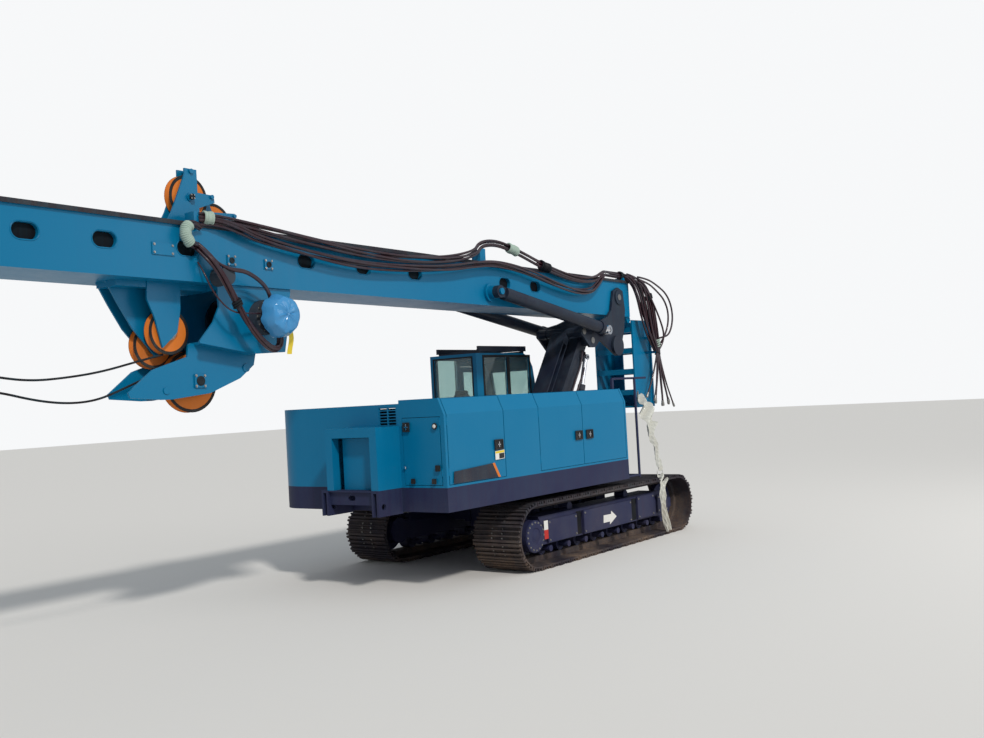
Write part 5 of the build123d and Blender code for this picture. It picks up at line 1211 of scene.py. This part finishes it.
class RIG_OT_film_wraps(bpy.types.Operator):
    """Torn plastic film that hangs from the hoses down over the right track"""

    bl_idname = "rig.film_wraps"
    bl_label = "Film wraps"

    # X, Y, Z of the strip's middle, then its width
    upper = (
        (2.760, -0.430, 2.140, 0.22), (2.680, -0.580, 2.020, 0.34), (2.580, -0.660, 1.860, 0.42),
        (2.440, -0.760, 1.680, 0.32), (2.260, -0.900, 1.460, 0.20), (2.000, -1.100, 1.250, 0.14),
        (1.700, -1.300, 1.060, 0.12), (1.530, -1.400, 0.965, 0.14),
    )
    lower = (
        (1.500, -1.420, 0.910, 0.20), (1.440, -1.500, 0.880, 0.17), (1.370, -1.520, 0.760, 0.12),
        (1.330, -1.526, 0.520, 0.10), (1.360, -1.532, 0.260, 0.13), (1.440, -1.545, 0.060, 0.10),
    )
    columns = 12
    width_over_folds, length_over_folds = 1.02, 1.1

    def execute(self, context):
        self.strip("Film wrap upper", self.upper, "lower_mast", "hung", ["lower_mast"])
        self.strip("Film wrap lower", self.lower, "right_track", "draped", ["track_belt_right"])
        return {"FINISHED"}

    def strip(self, name, table, body, held, rests_on):
        """A folded strip along the table's points."""
        middle = smooth_line([here(x, y, z) for x, y, z, _ in table])
        form = bmesh.new()
        rows = []
        for i, (point, (side, other)) in enumerate(zip(middle, frames_along(middle, X_AXIS + Y_AXIS * 0.3))):
            share = i / (len(middle) - 1) * (len(table) - 1)
            k = min(int(share), len(table) - 2)
            width = table[k][3] + (table[k + 1][3] - table[k][3]) * (share - k)
            row = []
            for c in range(self.columns + 1):
                across = c / self.columns - 0.5
                fold = (0.16 * width * math.sin(9.5 * across + 0.35 * i)
                        + 0.05 * width * math.sin(23 * across - 0.6 * i))
                row.append(form.verts.new(point + side * across * width * 0.9 + other * fold))
            rows.append(row)
        join_rows(form, rows)
        width = max(length_of([vertex.co for vertex in row]) for row in rows)
        film(name, form, (width * self.width_over_folds, length_of(middle) * self.length_over_folds), body,
             "Plastic film")


class RIG_OT_cab_fittings(bpy.types.Operator):
    """Black frames and seals round the cab's windows"""

    bl_idname = "rig.cab_fittings"
    bl_label = "Cab fittings"

    head_z, sill_z = 2.835, 2.120

    def execute(self, context):
        form = bmesh.new()
        # Low and high step along the wall, sill, border, the wall's origin and direction
        for low, high, sill, border, origin, along in (
            (-0.315, 0.255, self.sill_z, 0.037, here(0, 0.470, 0), X_AXIS),
            (0.330, 0.850, 1.820, 0.037, here(0, 0.470, 0), X_AXIS),
            (-0.084, 0.375, self.sill_z, 0.030, here(0, 1.370, 0), -X_AXIS),
            (-1.295, -0.560, self.sill_z, 0.022, here(-0.505, 0, 0), -Y_AXIS),
        ):
            frame_plate(form, (low, sill), (high, self.head_z), border, origin, along, Z_AXIS, 0.006)
        made("Window frames", form, "upper", "Moulded plastic")
        return {"FINISHED"}


class RIG_OT_chair(bpy.types.Operator):
    """The operator's chair: crowned cushions on a moulded base"""

    bl_idname = "rig.chair"
    bl_label = "Operator's chair"

    fill = 0.8
    cuts, roundness = 11, 5.0
    crown, seams, seam_width, seam_depth = 0.22, (-0.34, 0.34), 0.035, 0.14

    def execute(self, context):
        low, high = box_of("cab_seat")
        half_width = (high.y - low.y) / 2 - 0.005
        mid_y = (low.y + high.y) / 2
        cushions = [self.cushion(name, Vector((low.x + x, mid_y, z)), half) for name, x, z, half in (
            ("Pan cushion", 0.34, low.z + 0.245, (0.255, half_width, 0.062)),
            ("Back cushion", 0.062, low.z + 0.58, (0.058, half_width, 0.30)),
            ("Head rest", 0.062, high.z - 0.055, (0.045, 0.115, 0.052)),
        )]
        base = bmesh.new()
        for near, far, lift, tall in (((0.185, 0.075), (0.540, 0.265), 0, 0.06),
                                      ((0.220, 0.095), (0.500, 0.245), 0.06, 0.08),
                                      ((0.130, 0.030), (0.590, 0.310), 0.14, 0.045)):
            prism(base, rectangle(near, far), low + Z_AXIS * lift, X_AXIS, Y_AXIS, tall)
        stand = made("Chair base", base, "upper", "Moulded plastic", bevel=0.012)
        for piece in cushions:
            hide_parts("cab_seat")
        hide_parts("cab_seat")
        return {"FINISHED"}

    def cushion(self, name, centre, half):
        """A crowned pad whose sides pull in, with sewn channels across it."""
        form = bmesh.new()
        bmesh.ops.create_cube(form, size=2)
        bmesh.ops.subdivide_edges(form, edges=form.edges[:], cuts=self.cuts, use_grid_fill=True)
        flat = min(range(3), key=lambda axis: half[axis])
        longest = max(range(3), key=lambda axis: half[axis])
        for vertex in form.verts:
            place = vertex.co.copy()
            norm = sum(abs(v) ** self.roundness for v in place) ** (1 / self.roundness)
            place = place / norm * max(abs(v) for v in place)
            for axis in range(3):
                if axis != flat:
                    place[flat] *= 1 - self.crown * min(1.0, abs(place[axis])) ** 2
            for seam in self.seams:
                groove = math.exp(-((place[longest] - seam) / self.seam_width) ** 2)
                place[flat] *= 1 - self.seam_depth * groove
            vertex.co = centre + Vector(place[axis] * half[axis] for axis in range(3))
        return made(name, form, "upper", "Seat cloth")


class RIG_OT_bolt_heads(bpy.types.Operator):
    """One mesh of bolt heads for each body that has any"""

    bl_idname = "rig.bolt_heads"
    bl_label = "Bolt heads"

    def execute(self, context):
        heads = bolt_head_nodes()
        for body, bolts in BOLTS.items():
            seeded(f"Bolt heads {body}", bolts, heads, body, "Machined steel", {
                "Head Height": 0.7, "Washer Radius": 1.35})
        return {"FINISHED"}


class RIG_OT_stage(bpy.types.Operator):
    """Floor, lights, world and the camera at the photograph's viewpoint"""

    bl_idname = "rig.stage"
    bl_label = "Stage"

    floor_z = -0.002
    camera_place = (-12.686, -9.084, 2.22)
    # Yaw, pitch and roll in degrees
    camera_turn = (37.255, 1.581, -3.171)

    def execute(self, context):
        self.floor(context.scene.rig_stage.floor_size / 2)
        self.world(context.scene)
        self.lights(context.scene.rig_stage.sun_strength)
        self.camera(context.scene)
        context.scene.view_settings.view_transform = "Standard"
        return {"FINISHED"}

    def floor(self, half):
        mesh = bpy.data.meshes.new("Floor")
        mesh.from_pydata([(x, y, self.floor_z) for x, y in centred(half, half)], [], [(0, 1, 2, 3)])
        material, tree, shader = new_material("Pale floor")
        feed_named(tree, shader, Base_Color=(0.72, 0.70, 0.67, 1), Roughness=0.9)
        mesh.materials.append(material)
        enter("Floor", mesh)

    def world(self, scene):
        """Soft cool light on the machine, and plain white where the camera sees past it."""
        scene.world = bpy.data.worlds.new("Studio")
        scene.world.use_nodes = True
        tree = scene.world.node_tree
        soft = tree.nodes["Background"]
        feed_named(tree, soft, Color=(0.88, 0.94, 1.0, 1), Strength=0.5)
        white = add(tree, "ShaderNodeBackground", Color=(0.93, 0.94, 0.95, 1), Strength=1.0)
        rays = add(tree, "ShaderNodeLightPath").outputs
        seen = calculated(tree, "MAXIMUM", rays["Is Camera Ray"], rays["Is Transmission Ray"])
        chosen = add(tree, "ShaderNodeMixShader", seen, soft, white)
        feed_named(tree, tree.nodes["World Output"], Surface=chosen)

    def lights(self, sun_strength):
        for name, kind, place, aim, power, shape in (
            ("Key", "SUN", (-5.0, -9.0, 10.0), (0, 0, 1.0), sun_strength,
             {"angle": 0.10, "color": (1.0, 0.97, 0.92)}),
            ("Fill", "AREA", (9.0, -14.0, 7.0), (0, 0, 2.0), 500.0, {"shape": "SQUARE", "size": 8.0}),
        ):
            lamp = bpy.data.lights.new(name, kind)
            lamp.energy = power
            for key, value in shape.items():
                setattr(lamp, key, value)
            light = enter(name, lamp)
            light.location = place
            light.rotation_euler = (Vector(aim) - Vector(place)).to_track_quat("-Z", "Y").to_euler()

    def camera(self, scene):
        """The camera at the photograph's viewpoint, turned by yaw, pitch and roll."""
        data = bpy.data.cameras.new("Camera")
        data.sensor_width = 36.0
        data.lens = scene.rig_stage.focal_length
        data.clip_end = 400.0
        camera = enter("Camera", data)
        yaw, pitch, roll = (math.radians(angle) for angle in self.camera_turn)
        ahead = Vector((math.cos(pitch) * math.cos(yaw), math.cos(pitch) * math.sin(yaw), math.sin(pitch)))
        level = Vector((math.sin(yaw), -math.cos(yaw), 0))
        above = level.cross(ahead)
        right = math.cos(roll) * level + math.sin(roll) * above
        up = -math.sin(roll) * level + math.cos(roll) * above
        turn = Matrix((right, up, -ahead)).transposed().to_4x4()
        camera.matrix_world = Matrix.Translation(here(*self.camera_place)) @ turn
        scene.camera = camera


class RIG_PT_panel(bpy.types.Panel):
    """Lists the rig's operators and values"""

    bl_label = "Drilling rig"
    bl_idname = "RIG_PT_panel"
    bl_space_type = "VIEW_3D"
    bl_region_type = "UI"
    bl_category = "Drilling Rig"

    def draw(self, context):
        for group in GROUPS:
            values = getattr(context.scene, group)
            for name in values.__annotations__:
                self.layout.prop(values, name)
        for operator in OPERATORS:
            self.layout.operator(operator.bl_idname)


GROUPS = {"rig_paint": RigPaint, "rig_stage": RigStage, "rig_sizes": RigSizes}
OPERATORS = (
    RIG_OT_stage, RIG_OT_finishes, RIG_OT_hoses, RIG_OT_bindings, RIG_OT_sheave_rims, RIG_OT_mast_fittings,
    RIG_OT_winch_fittings, RIG_OT_hood_fittings, RIG_OT_track_fittings, RIG_OT_film_wraps,
    RIG_OT_cab_fittings, RIG_OT_chair, RIG_OT_bolt_heads,
)
CLASSES = (*GROUPS.values(), *OPERATORS, RIG_PT_panel)


def register():
    for entry in CLASSES:
        bpy.utils.register_class(entry)
    for name, group in GROUPS.items():
        setattr(bpy.types.Scene, name, bpy.props.PointerProperty(type=group))


def unregister():
    for name in GROUPS:
        delattr(bpy.types.Scene, name)
    for entry in reversed(CLASSES):
        bpy.utils.unregister_class(entry)


def main():
    register()
    for operator in OPERATORS:
        _, name = operator.bl_idname.split(".")
        getattr(bpy.ops.rig, name)()


if __name__ == "__main__":
    main()
